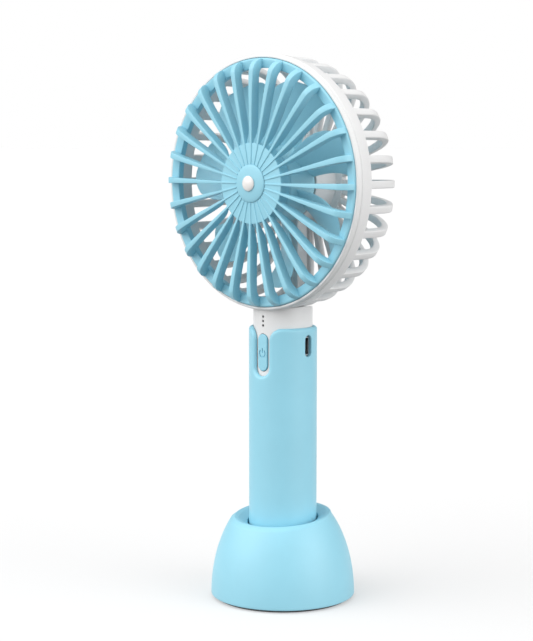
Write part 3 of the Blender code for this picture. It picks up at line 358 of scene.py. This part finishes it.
def add_turned(mesh_data, profile, centre=(0, 0, 0), along="Z", steps=192):
    """Turn a closed outline of (radius, distance along the axis) points about the axis.

    The profile is a list, or a function that gives the list for an angle.
    """
    centre = Vector(centre)
    angles = [TURN * step / steps for step in range(steps)]
    outlines = [profile(angle) if callable(profile) else profile for angle in angles]
    rings = []
    for index, (first_radius, _) in enumerate(outlines[0]):
        ring = []
        for angle, outline in zip(angles, outlines):
            radius, distance = outline[index]
            across = radius * math.cos(angle)
            up = radius * math.sin(angle)
            place = (across, distance, up) if along == "Y" else (across, up, distance)
            ring.append(mesh_data.verts.new(centre + Vector(place)))
            if first_radius == 0:
                break
        rings.append(ring)
    for first, second in zip(rings, rings[1:] + rings[:1]):
        for step in range(steps):
            after = (step + 1) % steps
            corners = [
                first[step % len(first)],
                first[after % len(first)],
                second[after % len(second)],
                second[step % len(second)],
            ]
            corners = list(dict.fromkeys(corners))
            if len(corners) > 2:
                mesh_data.faces.new(corners)
    return mesh_data


def turned(name, profile, **placing):
    """One turned piece."""
    return as_object(name, add_turned(bmesh.new(), profile, **placing))


def add_loft(mesh_data, sections, capped=True):
    """Join closed sections of equal length into a tube, with its ends filled."""
    rings = [[mesh_data.verts.new(point) for point in section] for section in sections]
    for first, second in zip(rings, rings[1:]):
        for index in range(len(first)):
            after = (index + 1) % len(first)
            mesh_data.faces.new([first[index], first[after], second[after], second[index]])
    if capped:
        mesh_data.faces.new(rings[0])
        mesh_data.faces.new(rings[-1])
    return mesh_data


def rounded(corners, steps=4):
    """A closed outline through (x, y, radius) corners, each rounded by its radius."""
    points = []
    count = len(corners)
    for index, (x, y, radius) in enumerate(corners):
        corner = Vector((x, y))
        before = Vector(corners[index - 1][:2]) - corner
        after = Vector(corners[(index + 1) % count][:2]) - corner
        if radius <= 0:
            points.append(tuple(corner))
            continue
        before.normalize()
        after.normalize()
        half = math.acos(max(-1, min(1, before.dot(after)))) / 2
        middle = corner + (before + after).normalized() * radius / math.sin(half)
        reach = radius / math.tan(half)
        start = corner + before * reach - middle
        end = corner + after * reach - middle
        sweep = start.angle_signed(end)
        for step in range(steps + 1):
            turn = Matrix.Rotation(-sweep * step / steps, 2)
            points.append(tuple(middle + turn @ start))
    return points


def arc(centre, radius, start, end, steps):
    """Points on an arc between two angles in degrees, both ends included."""
    points = []
    for step in range(steps + 1):
        angle = math.radians(start + (end - start) * step / steps)
        points.append((centre[0] + radius * math.cos(angle), centre[1] + radius * math.sin(angle)))
    return points


def obround(width, length, steps=16):
    """A slot's outline, longer along its second coordinate, about its own middle."""
    radius = width / 2
    straight = length / 2 - radius
    return arc((0, straight), radius, 0, 180, steps) + arc((0, -straight), radius, 180, 360, steps)


def facing_front(height):
    """A place function for outlines seen from the front: u is across, v is up, depth is Y."""
    return lambda u, v, depth: Vector((u, depth, height + v))


def facing_side(height):
    """A place function for outlines seen from +X: u is along Y, v is up, depth is X."""
    return lambda u, v, depth: Vector((depth, u, height + v))


def prism(name, levels, place):
    """A solid through (outline, depth) levels."""
    sections = [[place(u, v, depth) for u, v in outline] for outline, depth in levels]
    return as_object(name, add_loft(bmesh.new(), sections))


def cut_opening(piece, outline, start, end, place):
    """Cut an opening with one outline all the way between two depths."""
    carve(piece, prism("opening_tool", [(outline, start), (outline, end)], place))


# ---------------------------------------------------------------- stand
def dome_radius(height, inset=0.0):
    """The elliptic dome's radius at a height, or that of its wall's inside."""
    rise = (height - SHELL_BOTTOM) / (DOME_RISE - inset)
    return (STAND_RADIUS - inset) * math.sqrt(1 - rise * rise)


def stand_profile(angle):
    """The dome's section: rounded foot edge, dome, soft crest, dished top, socket and hollow."""
    crest = CREST_HEIGHT + CREST_SLOPE * CREST_RADIUS * math.sin(angle)
    ceiling = CREST_HEIGHT - 8 * MM
    edge = 0.45 * MM
    shoulder = crest - 0.9 * MM
    steps = 36
    points = arc((STAND_RADIUS - edge, SHELL_BOTTOM + edge), edge, -90, 0, 5)
    foot = SHELL_BOTTOM + edge
    dome = [foot + (shoulder - foot) * step / steps for step in range(1, steps)]
    points += [(dome_radius(height), height) for height in dome]
    top = rounded([
        (dome_radius(shoulder), shoulder, 0),
        (CREST_RADIUS, crest + 0.12 * MM, 0.55 * MM),
        (CREST_RADIUS - 1.7 * MM, crest - 0.35 * MM, 1.2 * MM),
        (SOCKET_RADIUS + 0.15 * MM, crest - 2.0 * MM, 0.45 * MM),
        (SOCKET_RADIUS, SOCKET_FLOOR, 0),
        (0, SOCKET_FLOOR, 0),
        (0, SOCKET_FLOOR - SOCKET_FLOOR_THICKNESS, 0),
        (SOCKET_RADIUS + SOCKET_WALL, SOCKET_FLOOR - SOCKET_FLOOR_THICKNESS, 0),
        (SOCKET_RADIUS + SOCKET_WALL, ceiling, 0),
    ], 6)
    hollow = [ceiling + (SHELL_BOTTOM - ceiling) * step / 12 for step in range(13)]
    return points + top + [(dome_radius(height, DOME_WALL), height) for height in hollow]


def make_stand():
    """The domed shell and the rubber ring under it."""
    dome = turned("stand_dome", stand_profile, steps=256)
    dress(dome, "stand", "stand_shell", "sky_blue_plastic")
    edge = 0.2 * MM
    pad = rounded([
        (FOOT_INNER, 0, edge),
        (FOOT_OUTER, 0, edge),
        (FOOT_OUTER, FOOT_TOP, edge),
        (FOOT_INNER, FOOT_TOP, edge),
    ])
    dress(turned("stand_foot_ring", pad), "stand", "stand_foot_pad", "foot_rubber")


# ---------------------------------------------------------------- handle
def sleeve_edge():
    """Half of the sleeve's top edge, unrolled, from the notch's bottom round to the back.

    Each step is a place and the direction from it into the sleeve.
    """
    path = []
    low_centre = NOTCH_BOTTOM + NOTCH_HALF_WIDTH
    high_centre = HANDLE_TOP - NOTCH_CORNER
    for step in range(17):
        angle = math.radians(-90 + 90 * step / 16)
        normal = Vector((math.cos(angle), math.sin(angle)))
        path.append((Vector((0, low_centre)) + normal * NOTCH_HALF_WIDTH, normal))
    side_steps = 14
    for step in range(1, side_steps):
        height = low_centre + (high_centre - low_centre) * step / side_steps
        path.append((Vector((NOTCH_HALF_WIDTH, height)), Vector((1, 0))))
    for step in range(17):
        angle = math.radians(180 - 90 * step / 16)
        normal = -Vector((math.cos(angle), math.sin(angle)))
        centre = Vector((NOTCH_HALF_WIDTH + NOTCH_CORNER, high_centre))
        path.append((centre - normal * NOTCH_CORNER, normal))
    start, end = NOTCH_HALF_WIDTH + NOTCH_CORNER, math.pi * NECK_RADIUS
    for step in range(1, 41):
        path.append((Vector((start + (end - start) * step / 40, HANDLE_TOP)), Vector((0, -1))))
    return path


def sleeve_columns():
    """Upright columns of (around, height, radius) that make up one half of the sleeve."""
    path = sleeve_edge()
    lengths = [0.0]
    for (first, _), (second, _) in zip(path, path[1:]):
        lengths.append(lengths[-1] + (second - first).length)
    lip = 0.16 * MM
    bend = HANDLE_RADIUS - SLEEVE_BORE - lip
    edge = [(0, SLEEVE_BORE)]
    for step in range(9):
        angle = math.radians(90 * step / 8)
        edge.append((SLEEVE_BEVEL * (1 - math.cos(angle)), SLEEVE_BORE + lip + bend * math.sin(angle)))
    columns = []
    for (place, normal), length in zip(path, lengths):
        foot = Vector((math.pi * NECK_RADIUS * length / lengths[-1], SLEEVE_BOTTOM + 0.3 * MM))
        column = []
        for inward, radius in edge:
            point = place + normal * inward
            column.append((point.x, point.y, radius))
        rows = 20
        for step in range(1, rows + 1):
            share = step / rows
            point = (place + normal * SLEEVE_BEVEL).lerp(foot, share ** 1.5)
            column.append((point.x, point.y, HANDLE_RADIUS))
        column.append((foot.x, SLEEVE_BOTTOM, HANDLE_RADIUS - 0.3 * MM))
        column.append((foot.x, SLEEVE_BOTTOM, SLEEVE_BORE))
        for step in range(1, 8):
            point = foot.lerp(place, step / 8)
            column.append((point.x, point.y, SLEEVE_BORE))
        columns.append(column)
    return columns


def make_sleeve():
    """The grip tube with its bevelled notch, wrapped from an unrolled sheet of columns."""
    half = sleeve_columns()
    mirrored = [[(-around, height, radius) for around, height, radius in column] for column in half[1:-1]]
    sections = []
    for column in half + mirrored[::-1]:
        section = []
        for around, height, radius in column:
            angle = around / NECK_RADIUS
            section.append(Vector((radius * math.sin(angle), -radius * math.cos(angle), height)))
        sections.append(section)
    shape = add_loft(bmesh.new(), sections + sections[:1], capped=False)
    bmesh.ops.remove_doubles(shape, verts=shape.verts, dist=1e-7)
    sleeve = as_object("grip_sleeve", shape, sharp=50)
    chamfer = 0.35 * MM
    slot = obround(PORT_WIDTH, PORT_LENGTH)
    wide = obround(PORT_WIDTH + 2 * chamfer, PORT_LENGTH + 2 * chamfer)
    levels = [
        (slot, NECK_RADIUS - 1 * MM),
        (slot, HANDLE_RADIUS - chamfer),
        (wide, HANDLE_RADIUS + 0.05 * MM),
        (wide, HANDLE_RADIUS + 1 * MM),
    ]
    carve(sleeve, prism("slot_tool", levels, facing_side(PORT_HEIGHT)))
    return dress(sleeve, "fan", "handle_sleeve", "sky_blue_plastic")


def make_end_cap():
    """The cap under the grip, with the spigot that goes up into the white tube."""
    spigot = NECK_RADIUS - NECK_WALL - 0.3 * MM
    spigot_top = END_CAP_TOP + 3 * MM
    profile = rounded([
        (0, HANDLE_BOTTOM, 0),
        (HANDLE_RADIUS, HANDLE_BOTTOM, 0.5 * MM),
        (HANDLE_RADIUS, END_CAP_TOP, 0.1 * MM),
        (spigot, END_CAP_TOP, 0),
        (spigot, spigot_top, 0.3 * MM),
        (0, spigot_top, 0),
    ])
    return dress(turned("grip_end_cap", profile), "fan", "handle_end_cap", "sky_blue_plastic")


def make_neck():
    """The white tube: neck, tongue behind the notch, and the openings in it."""
    bottom = SLEEVE_BOTTOM
    top = HEAD_HEIGHT - BAND_INNER
    inner = NECK_RADIUS - NECK_WALL
    profile = [(inner, bottom), (NECK_RADIUS, bottom)]
    profile += [(NECK_RADIUS, bottom + (top - bottom) * step / 12) for step in range(1, 12)]
    profile += [(NECK_RADIUS, top), (inner, top)]
    neck = turned("neck_tube", profile)
    radius, half = BAND_RADIUS - 0.25 * MM, 40 * MM
    barrel = [(0, -half), (radius, -half), (radius, half), (0, half)]
    carve(neck, turned("barrel_tool", barrel, centre=HEAD_CENTRE, along="Y", steps=512))
    outside = NECK_RADIUS + 1 * MM
    key_hole = obround(BUTTON_WIDTH + 0.5 * MM, BUTTON_LENGTH + 0.5 * MM)
    cut_opening(neck, key_hole, -outside, -7 * MM, facing_front(BUTTON_HEIGHT))
    hole = arc((0, 0), LIGHT_RADIUS + 0.05 * MM, 0, 345, 23)
    for height in LIGHT_HEIGHTS:
        cut_opening(neck, hole, -outside, -LIGHT_BACK, facing_front(height))
    slot = obround(PORT_WIDTH, PORT_LENGTH)
    cut_opening(neck, slot, 9 * MM, outside, facing_side(PORT_HEIGHT))
    return dress(neck, "fan", "neck_chassis", "white_plastic")


def button_levels():
    """Outlines and depths of the power key, from its rounded face back to its flange."""
    edge = 0.35 * MM
    steps = 6
    levels = []
    for step in range(steps + 1):
        angle = math.radians(90 * step / steps)
        inset = edge * (1 - math.sin(angle))
        outline = obround(BUTTON_WIDTH - 2 * inset, BUTTON_LENGTH - 2 * inset)
        levels.append((outline, -BUTTON_FACE + edge * (1 - math.cos(angle))))
    levels.append((obround(BUTTON_WIDTH, BUTTON_LENGTH), -BUTTON_FLANGE_FRONT))
    flange = obround(BUTTON_WIDTH + 1.6 * MM, BUTTON_LENGTH + 1.6 * MM)
    return levels + [(flange, -BUTTON_FLANGE_FRONT), (flange, -BUTTON_FLANGE_BACK)]


def make_button():
    """The power key and its engraved sign: a ring that is open at the top, and a stroke."""
    button = prism("power_key", button_levels(), facing_front(BUTTON_HEIGHT))
    ring = arc((0, 0), 1.7 * MM, 130, 410, 28) + arc((0, 0), 1.27 * MM, 410, 130, 28)
    half, low, high = 0.21 * MM, 0.2 * MM, 2.1 * MM
    corner = 0.1 * MM
    stroke = rounded([
        (-half, low, corner),
        (half, low, corner),
        (half, high, corner),
        (-half, high, corner),
    ])
    sign_place = facing_front(BUTTON_HEIGHT - 0.3 * MM)
    for outline in (ring, stroke):
        cut_opening(button, outline, -BUTTON_FACE - 1 * MM, -BUTTON_FACE + SIGN_DEPTH, sign_place)
    return dress(button, "power_button", "power_button", "sky_blue_plastic")


def make_light_pipes():
    """Three dark lenses that end just proud of the neck, each slightly domed."""
    front = -NECK_RADIUS - 0.02 * MM
    profile = [
        (0, front),
        (LIGHT_RADIUS * 0.6, front + 0.01 * MM),
        (LIGHT_RADIUS, front + 0.08 * MM),
        (LIGHT_RADIUS, -LIGHT_BACK),
        (0, -LIGHT_BACK),
    ]
    for number, height in enumerate(LIGHT_HEIGHTS, start=1):
        lens = turned(f"light_lens_{number}", profile, centre=(0, 0, height), along="Y", steps=32)
        dress(lens, "fan", f"light_pipe_{number}", "smoked_plastic")


def make_handle():
    """Everything of the grip that shows."""
    make_sleeve()
    make_end_cap()
    make_neck()
    make_button()
    make_light_pipes()


# ---------------------------------------------------------------- head
def spoke(angle, radius, depth, offset):
    """A place on a rib: out from the head's centre, forward or back, and across the rib."""
    outward = Vector((math.cos(angle), 0, math.sin(angle)))
    across = Vector((-math.sin(angle), 0, math.cos(angle)))
    return HEAD_CENTRE + outward * radius + across * offset + Vector((0, depth, 0))


def smooth(points, steps):
    """Points of a Catmull-Rom curve through the given ones, evenly stepped between each pair."""
    made = []
    for index in range(len(points) - 1):
        before = Vector(points[max(0, index - 1)])
        start, end = Vector(points[index]), Vector(points[index + 1])
        after = Vector(points[min(len(points) - 1, index + 2)])
        for step in range(steps):
            t = step / steps
            made.append(0.5 * (
                2 * start
                + (end - before) * t
                + (2 * before - 5 * start + 4 * end - after) * t * t
                + (3 * start - before - 3 * end + after) * t * t * t
            ))
    made.append(Vector(points[-1]))
    return made


def add_rib(mesh_data, angle, front, back, half_width, edge):
    """Add a rib with rounded edges between a front and a back curve of (radius, depth) points."""
    sections = []
    for near, far in zip(front, back):
        near, far = Vector(near), Vector(far)
        wide_near, wide_far = half_width(near.x), half_width(far.x)
        length = (far - near).length
        outline = rounded([
            (-wide_near, 0, edge),
            (wide_near, 0, edge),
            (wide_far, length, edge),
            (-wide_far, length, edge),
        ], 3)
        section = []
        for offset, share in outline:
            point = near.lerp(far, share / length)
            section.append(spoke(angle, point.x, point.y, offset))
        sections.append(section)
    return add_loft(mesh_data, sections)


def front_rib_half_width(radius):
    """Ribs taper from 2.5 mm at the rim to 0.5 mm beside the boss."""
    share = (radius - BOSS_RADIUS) / (GRILLE_RADIUS - BOSS_RADIUS)
    return (0.26 + 0.99 * share) * MM


def front_rib_curves():
    """The bulging front edge of a rib and its back edge, from the rim to the boss."""
    turn_radius = GRILLE_RADIUS - 0.1 * MM - RIB_CORNER
    turn_depth = RIB_CREST + RIB_CORNER
    flat_back = RIB_CREST + RIB_DEPTH
    front = [(turn_radius + RIB_CORNER, turn_depth + 1.4 * MM)]
    front += arc((turn_radius, turn_depth), RIB_CORNER, 0, -90, 4)
    back = [
        (GRILLE_INNER + 1.2 * MM, turn_depth + 1.4 * MM),
        (GRILLE_INNER + 1.0 * MM, turn_depth + 0.4 * MM),
        (GRILLE_INNER + 0.3 * MM, turn_depth - 0.3 * MM),
        (GRILLE_INNER - 0.7 * MM, turn_depth - 0.9 * MM),
        (turn_radius + 0.3 * MM, flat_back + 0.3 * MM),
        (turn_radius - 1.5 * MM, flat_back),
    ]
    front += [
        (turn_radius - 8 * MM, RIB_CREST - 0.2 * MM),
        (HUB_RADIUS + 6 * MM, RIB_CREST + 0.1 * MM),
        (HUB_RADIUS - 0.5 * MM, HUB_FACE - 0.3 * MM),
        (BOSS_RADIUS + 0.2 * MM, HUB_FACE - 0.3 * MM),
    ]
    back += [
        (turn_radius - 8 * MM, flat_back),
        (HUB_RADIUS + 6 * MM, flat_back + 0.1 * MM),
        (HUB_RADIUS - 0.5 * MM, HUB_FACE + 0.9 * MM),
        (BOSS_RADIUS + 0.2 * MM, HUB_FACE + 0.6 * MM),
    ]
    return smooth(front, 4), smooth(back, 4)


def make_front_grille():
    """Rim ring, hub cup and ribs."""
    rim_outside = GRILLE_RADIUS + 0.15 * MM
    rim = rounded([
        (GRILLE_INNER, GRILLE_BACK, 0.2 * MM),
        (rim_outside, GRILLE_BACK, 0.1 * MM),
        (rim_outside, GRILLE_FACE, 0.8 * MM),
        (GRILLE_INNER, GRILLE_FACE + 0.6 * MM, 0.25 * MM),
    ], 5)
    bore = 2.2 * MM
    hub_floor = HUB_FACE + 1.4 * MM
    skirt = IMPELLER_FRONT - 0.5 * MM
    hub = rounded([
        (bore, HUB_FACE, 0),
        (HUB_RADIUS, HUB_FACE, 0.25 * MM),
        (HUB_RADIUS - 0.3 * MM, skirt, 0.3 * MM),
        (HUB_RADIUS - 1.7 * MM, skirt, 0.2 * MM),
        (HUB_RADIUS - 1.5 * MM, hub_floor, 0.2 * MM),
        (bore, hub_floor, 0),
    ])
    shape = add_turned(bmesh.new(), rim, centre=HEAD_CENTRE, along="Y", steps=280)
    add_turned(shape, hub, centre=HEAD_CENTRE, along="Y", steps=168)
    front, back = front_rib_curves()
    for index in range(FRONT_RIBS):
        angle = FRONT_RIB_START + TURN * index / FRONT_RIBS
        add_rib(shape, angle, front, back, front_rib_half_width, 0.16 * MM)
    return dress(as_object("grille_front", shape), "fan", "front_grille", "sky_blue_plastic")


def dome_arc(radius, base, rise):
    """Points of a shallow dome that bulges forward from its base, rim first."""
    angles = [math.radians(degrees) for degrees in range(0, 90, 5)]
    return [(radius * math.cos(angle), base - rise * math.sin(angle)) for angle in angles]


def make_hub_trim():
    """The domed boss on the grille's hub and the pearl bead in its middle."""
    base = HUB_FACE - 0.2 * MM
    peg, hole = 1.9 * MM, 1.1 * MM
    back = base + 3.4 * MM
    profile = [(hole, back), (peg, back), (peg, base)]
    profile += dome_arc(BOSS_RADIUS, base, BOSS_RISE) + [(hole, base - BOSS_RISE)]
    boss = turned("hub_boss_dome", profile, centre=HEAD_CENTRE, along="Y", steps=128)
    dress(boss, "fan", "hub_boss", "sky_blue_plastic")
    seat = base - BOSS_RISE - 0.1 * MM
    stem = 0.9 * MM
    back = base + 2.6 * MM
    profile = [(0, back), (stem, back), (stem, seat)] + dome_arc(BEAD_RADIUS, seat, BEAD_RISE)
    profile.append((0, seat - BEAD_RISE))
    pearl = turned("pearl_bead_dome", profile, centre=HEAD_CENTRE, along="Y", steps=96)
    dress(pearl, "fan", "pearl_bead", "pearl_white")


def rear_rib_curves():
    """The outer and inner edge of a rear rib, from the band round to the rear disc."""
    centre = (CAGE_RADIUS - CAGE_CORNER, CAGE_BACK - CAGE_CORNER)
    start = BAND_BACK - 1.5 * MM
    end = REAR_DISC_RADIUS - 1.2 * MM
    outer = [(CAGE_RADIUS + 0.15 * MM, start)]
    outer += arc(centre, CAGE_CORNER, 0, 90, 18)
    outer.append((end, CAGE_BACK))
    inner = [(BAND_INNER + 0.4 * MM, start)]
    inner += arc(centre, CAGE_CORNER - REAR_RIB_DEPTH, 0, 90, 18)
    inner.append((end, CAGE_BACK - REAR_RIB_DEPTH))
    return outer, inner


def rear_rib_half_width(radius):
    """Ribs are 3 mm wide and narrow a little towards the rear disc."""
    share = min(1, max(0, (radius - REAR_DISC_RADIUS) / (CAGE_CORNER + 5 * MM)))
    return (REAR_RIB_NARROW + (REAR_RIB_WIDTH - REAR_RIB_NARROW) * share) / 2


def band_profile():
    """Section of the white band: the seat for the grille, a tapered bezel, a step and the back."""
    seat = GRILLE_BACK + 0.3 * MM
    rebate = GRILLE_RADIUS + 0.3 * MM
    bezel = BAND_RADIUS - 0.45 * MM
    step = BAND_FRONT + 2.0 * MM
    return rounded([
        (BAND_INNER, seat, 0),
        (rebate, seat, 0),
        (rebate, BAND_FRONT, 0.2 * MM),
        (bezel - 0.15 * MM, BAND_FRONT, 0.5 * MM),
        (bezel, step, 0),
        (BAND_RADIUS, step + 0.35 * MM, 0.2 * MM),
        (BAND_RADIUS - 0.3 * MM, BAND_BACK, 0.5 * MM),
        (BAND_INNER, BAND_INNER_BACK, 0.3 * MM),
    ])


def pod_profile():
    """Section of the rear disc with the motor pod standing forward from it."""
    pod_floor = CAGE_BACK - REAR_RIB_DEPTH - 0.4 * MM
    pod_inner = POD_RADIUS - POD_WALL
    disc_back = CAGE_BACK + 0.1 * MM
    return rounded([
        (pod_inner, pod_floor, 0),
        (pod_inner, POD_FRONT, 0.3 * MM),
        (POD_RADIUS, POD_FRONT, 0.4 * MM),
        (POD_RADIUS, pod_floor, 0.5 * MM),
        (REAR_DISC_RADIUS, pod_floor, 0.4 * MM),
        (REAR_DISC_RADIUS, disc_back, 0.8 * MM),
        (0, disc_back, 0),
        (0, pod_floor, 0),
    ])


def make_rear_cage():
    """Band with its stepped bezel, rear ribs, rear disc, motor pod and wiring spoke."""
    shape = add_turned(bmesh.new(), band_profile(), centre=HEAD_CENTRE, along="Y", steps=320)
    add_turned(shape, pod_profile(), centre=HEAD_CENTRE, along="Y", steps=192)
    outer, inner = rear_rib_curves()
    for index in range(REAR_RIBS):
        add_rib(shape, TURN * index / REAR_RIBS, outer, inner, rear_rib_half_width, 0.45 * MM)
    add_wiring_spoke(shape)
    return dress(as_object("cage_back", shape), "fan", "rear_cage", "white_plastic")


def add_wiring_spoke(mesh_data):
    """The hollow bar that takes the leads from the pod down into the neck."""
    half = 4.0 * MM
    front, back = 4.4 * MM, 10.4 * MM
    outline = rounded([
        (-half, front, 0.6 * MM),
        (half, front, 0.6 * MM),
        (half, back, 0.6 * MM),
        (-half, back, 0.6 * MM),
    ])
    low = HEAD_HEIGHT - BAND_INNER - 1 * MM
    high = HEAD_HEIGHT - POD_RADIUS + 0.7 * MM
    return add_loft(mesh_data, [[Vector((x, y, height)) for x, y in outline] for height in (low, high)])


# ---------------------------------------------------------------- impeller
def blade_point(angle):
    """The surface of one blade: side, root to tip, and front edge to back edge."""
    root = IMPELLER_RADIUS - 0.7 * MM

    def point(side, row, column):
        rounding = 4.0 * MM * abs(2 * column - 1) ** 6
        radius = root + row * (BLADE_TIP - rounding - root)
        outward = (radius - root) / (BLADE_TIP - root)
        around = angle + BLADE_SWEEP * outward ** 2.5 + BLADE_SPAN * (1 - 0.1 * outward) * column
        camber = 0.8 * MM * math.sin(math.pi * column)
        edge = math.sqrt(max(0.0, 1 - abs(2 * column - 1) ** 8)) * math.sqrt(max(0.0, 1 - row ** 24))
        thickness = BLADE_THICKNESS * (1 - 0.35 * outward) * max(0.02, edge)
        depth = BLADE_FRONT + (BLADE_BACK - BLADE_FRONT) * column - camber
        depth += thickness * (side - 0.5)
        return HEAD_CENTRE + Vector((radius * math.sin(around), depth, radius * math.cos(around)))

    return point


def add_blade(mesh_data, point, rows=28, columns=24):
    """Add a closed blade between its two curved faces."""
    def eased(share):
        return 0.5 - 0.5 * math.cos(math.pi * share)

    sections = []
    for row in range(rows + 1):
        out = math.sin(math.pi / 2 * row / rows)
        front = [point(0, out, eased(column / columns)) for column in range(columns + 1)]
        rear = [point(1, out, eased(column / columns)) for column in range(columns, -1, -1)]
        sections.append(front + rear)
    return add_loft(mesh_data, sections)


def make_impeller():
    """The hub cup and its petal blades."""
    wall = 1.2 * MM
    bore = 1.15 * MM
    cup_floor = IMPELLER_FRONT + 1.5 * MM
    profile = rounded([
        (bore, IMPELLER_FRONT, 0),
        (IMPELLER_RADIUS, IMPELLER_FRONT, 1.0 * MM),
        (IMPELLER_RADIUS, IMPELLER_BACK, 0.3 * MM),
        (IMPELLER_RADIUS - wall, IMPELLER_BACK, 0.2 * MM),
        (IMPELLER_RADIUS - wall, cup_floor, 0),
        (bore, cup_floor, 0),
    ], 6)
    shape = add_turned(bmesh.new(), profile, centre=HEAD_CENTRE, along="Y", steps=160)
    for index in range(BLADES):
        add_blade(shape, blade_point(BLADE_START + TURN * index / BLADES))
    impeller = as_object("impeller_blades", shape)
    # The impeller is sky-blue plastic, drawn with a lighter, greyer copy of it: painted light for the
    # inside of the head.
    return dress(impeller, "impeller", "impeller", "sky_blue_plastic", "blade_plastic_painted_light")


# ---------------------------------------------------------------- pieces kept from the CAD
def dress_cad_nodes():
    """Every CAD node that still shows gets the procedural material of its slot."""
    slots = {entry["node"]: entry["material_slot"] for entry in frame["record"]["subparts"]}
    for node, kept in frame["nodes"].items():
        for index in range(len(kept.material_slots)):
            kept.material_slots[index].material = MATERIALS[slots[node]]


# ---------------------------------------------------------------- studio
# Each soft box: degrees to the right of the front, degrees up, how narrow it is, and its strength.
KEY_BOX = (-28, 32, 5, 3.25)
SIDE_BOX = (100, 18, 9, 3.85)
TOP_BOX = (0, 90, 2, 0.45)
AMBIENT = 0.35                          # light from every side at the level of the horizon
AMBIENT_RISE = 0.10                     # how much more there is overhead, and less from below
FLOOR_GREY = 0.46
FLOOR_GLOW = 0.38                       # keeps the shadows on the floor pale
CAMERA_PLACE = Vector((439.39, -493.18, 184.51)) * MM
CAMERA_HEADING = math.radians(132.28)   # from +X towards +Y
CAMERA_DIP = math.radians(6.126)
CAMERA_LENS = 91.9


def make_floor():
    """A plain pale floor, far larger than the view."""
    shape = bmesh.new()
    bmesh.ops.create_grid(shape, x_segments=2, y_segments=2, size=60.0)
    floor = as_object("studio_floor", shape)
    material, nodes, links, shader = node_tree("studio_floor")
    haze = texture(nodes, links, "ShaderNodeTexNoise", 3, Detail=1.0)
    stops = [(0.0, (FLOOR_GREY - 0.01,) * 3), (1.0, (FLOOR_GREY + 0.01,) * 3)]
    links.new(ramp(nodes, links, haze.outputs["Fac"], stops), shader.inputs["Base Color"])
    shader.inputs["Roughness"].default_value = 0.9
    shader.inputs["Specular IOR Level"].default_value = 0.1
    shader.inputs["Emission Color"].default_value = (1, 1, 1, 1)
    shader.inputs["Emission Strength"].default_value = FLOOR_GLOW
    floor.data.materials.append(material)
    floor.visible_diffuse = False


def math_node(tree, operation, *values):
    """A Math node in the tree. Each value is a number or a socket to link from."""
    made = tree.nodes.new("ShaderNodeMath")
    made.operation = operation
    for socket, value in zip(made.inputs, values):
        if isinstance(value, (int, float)):
            socket.default_value = value
        else:
            tree.links.new(value, socket)
    return made.outputs["Value"]


def soft_lobe(tree, direction, azimuth, elevation, narrowness, strength):
    """The light of one wide soft box in a direction, fading out all round it."""
    across, up = math.radians(azimuth), math.radians(elevation)
    aim = (math.sin(across) * math.cos(up), -math.cos(across) * math.cos(up), math.sin(up))
    facing = tree.nodes.new("ShaderNodeVectorMath")
    facing.operation = "DOT_PRODUCT"
    tree.links.new(direction, facing.inputs[0])
    facing.inputs[1].default_value = aim
    toward = math_node(tree, "MAXIMUM", facing.outputs["Value"], 0.0)
    return math_node(tree, "MULTIPLY", math_node(tree, "POWER", toward, narrowness), strength)


def make_lights():
    """A studio sky: a pale surround and three wide soft boxes. The backdrop itself shows white."""
    world = bpy.data.worlds.new("studio_light")
    world.use_nodes = True
    tree = world.node_tree
    direction = tree.nodes.new("ShaderNodeTexCoord").outputs["Generated"]
    height = tree.nodes.new("ShaderNodeSeparateXYZ")
    tree.links.new(direction, height.inputs["Vector"])
    light = math_node(tree, "MULTIPLY_ADD", height.outputs["Z"], AMBIENT_RISE, AMBIENT)
    for soft_box in (KEY_BOX, SIDE_BOX, TOP_BOX):
        light = math_node(tree, "ADD", light, soft_lobe(tree, direction, *soft_box))
    backdrop = tree.nodes["Background"]
    backdrop.inputs["Color"].default_value = (1, 1, 1, 1)
    seen = tree.nodes.new("ShaderNodeLightPath").outputs["Is Camera Ray"]
    unseen = math_node(tree, "SUBTRACT", 1.0, seen)
    strength = math_node(tree, "ADD", seen, math_node(tree, "MULTIPLY", unseen, light))
    tree.links.new(strength, backdrop.inputs["Strength"])
    bpy.context.scene.world = world
    bpy.context.scene.view_settings.view_transform = "Standard"


def make_camera():
    """A long lens, level with the head and looking slightly down."""
    camera = bpy.data.cameras.new("camera")
    camera.sensor_width = 36.0
    camera.lens = CAMERA_LENS
    holder = bpy.data.objects.new("camera", camera)
    holder.location = CAMERA_PLACE
    ahead = Vector((
        math.cos(CAMERA_HEADING) * math.cos(CAMERA_DIP),
        math.sin(CAMERA_HEADING) * math.cos(CAMERA_DIP),
        -math.sin(CAMERA_DIP),
    ))
    holder.rotation_euler = ahead.to_track_quat("-Z", "Y").to_euler()
    bpy.context.scene.collection.objects.link(holder)
    bpy.context.scene.camera = holder


make_camera()
make_lights()
make_floor()
make_stand()
make_handle()
make_front_grille()
make_hub_trim()
make_rear_cage()
make_impeller()
dress_cad_nodes()
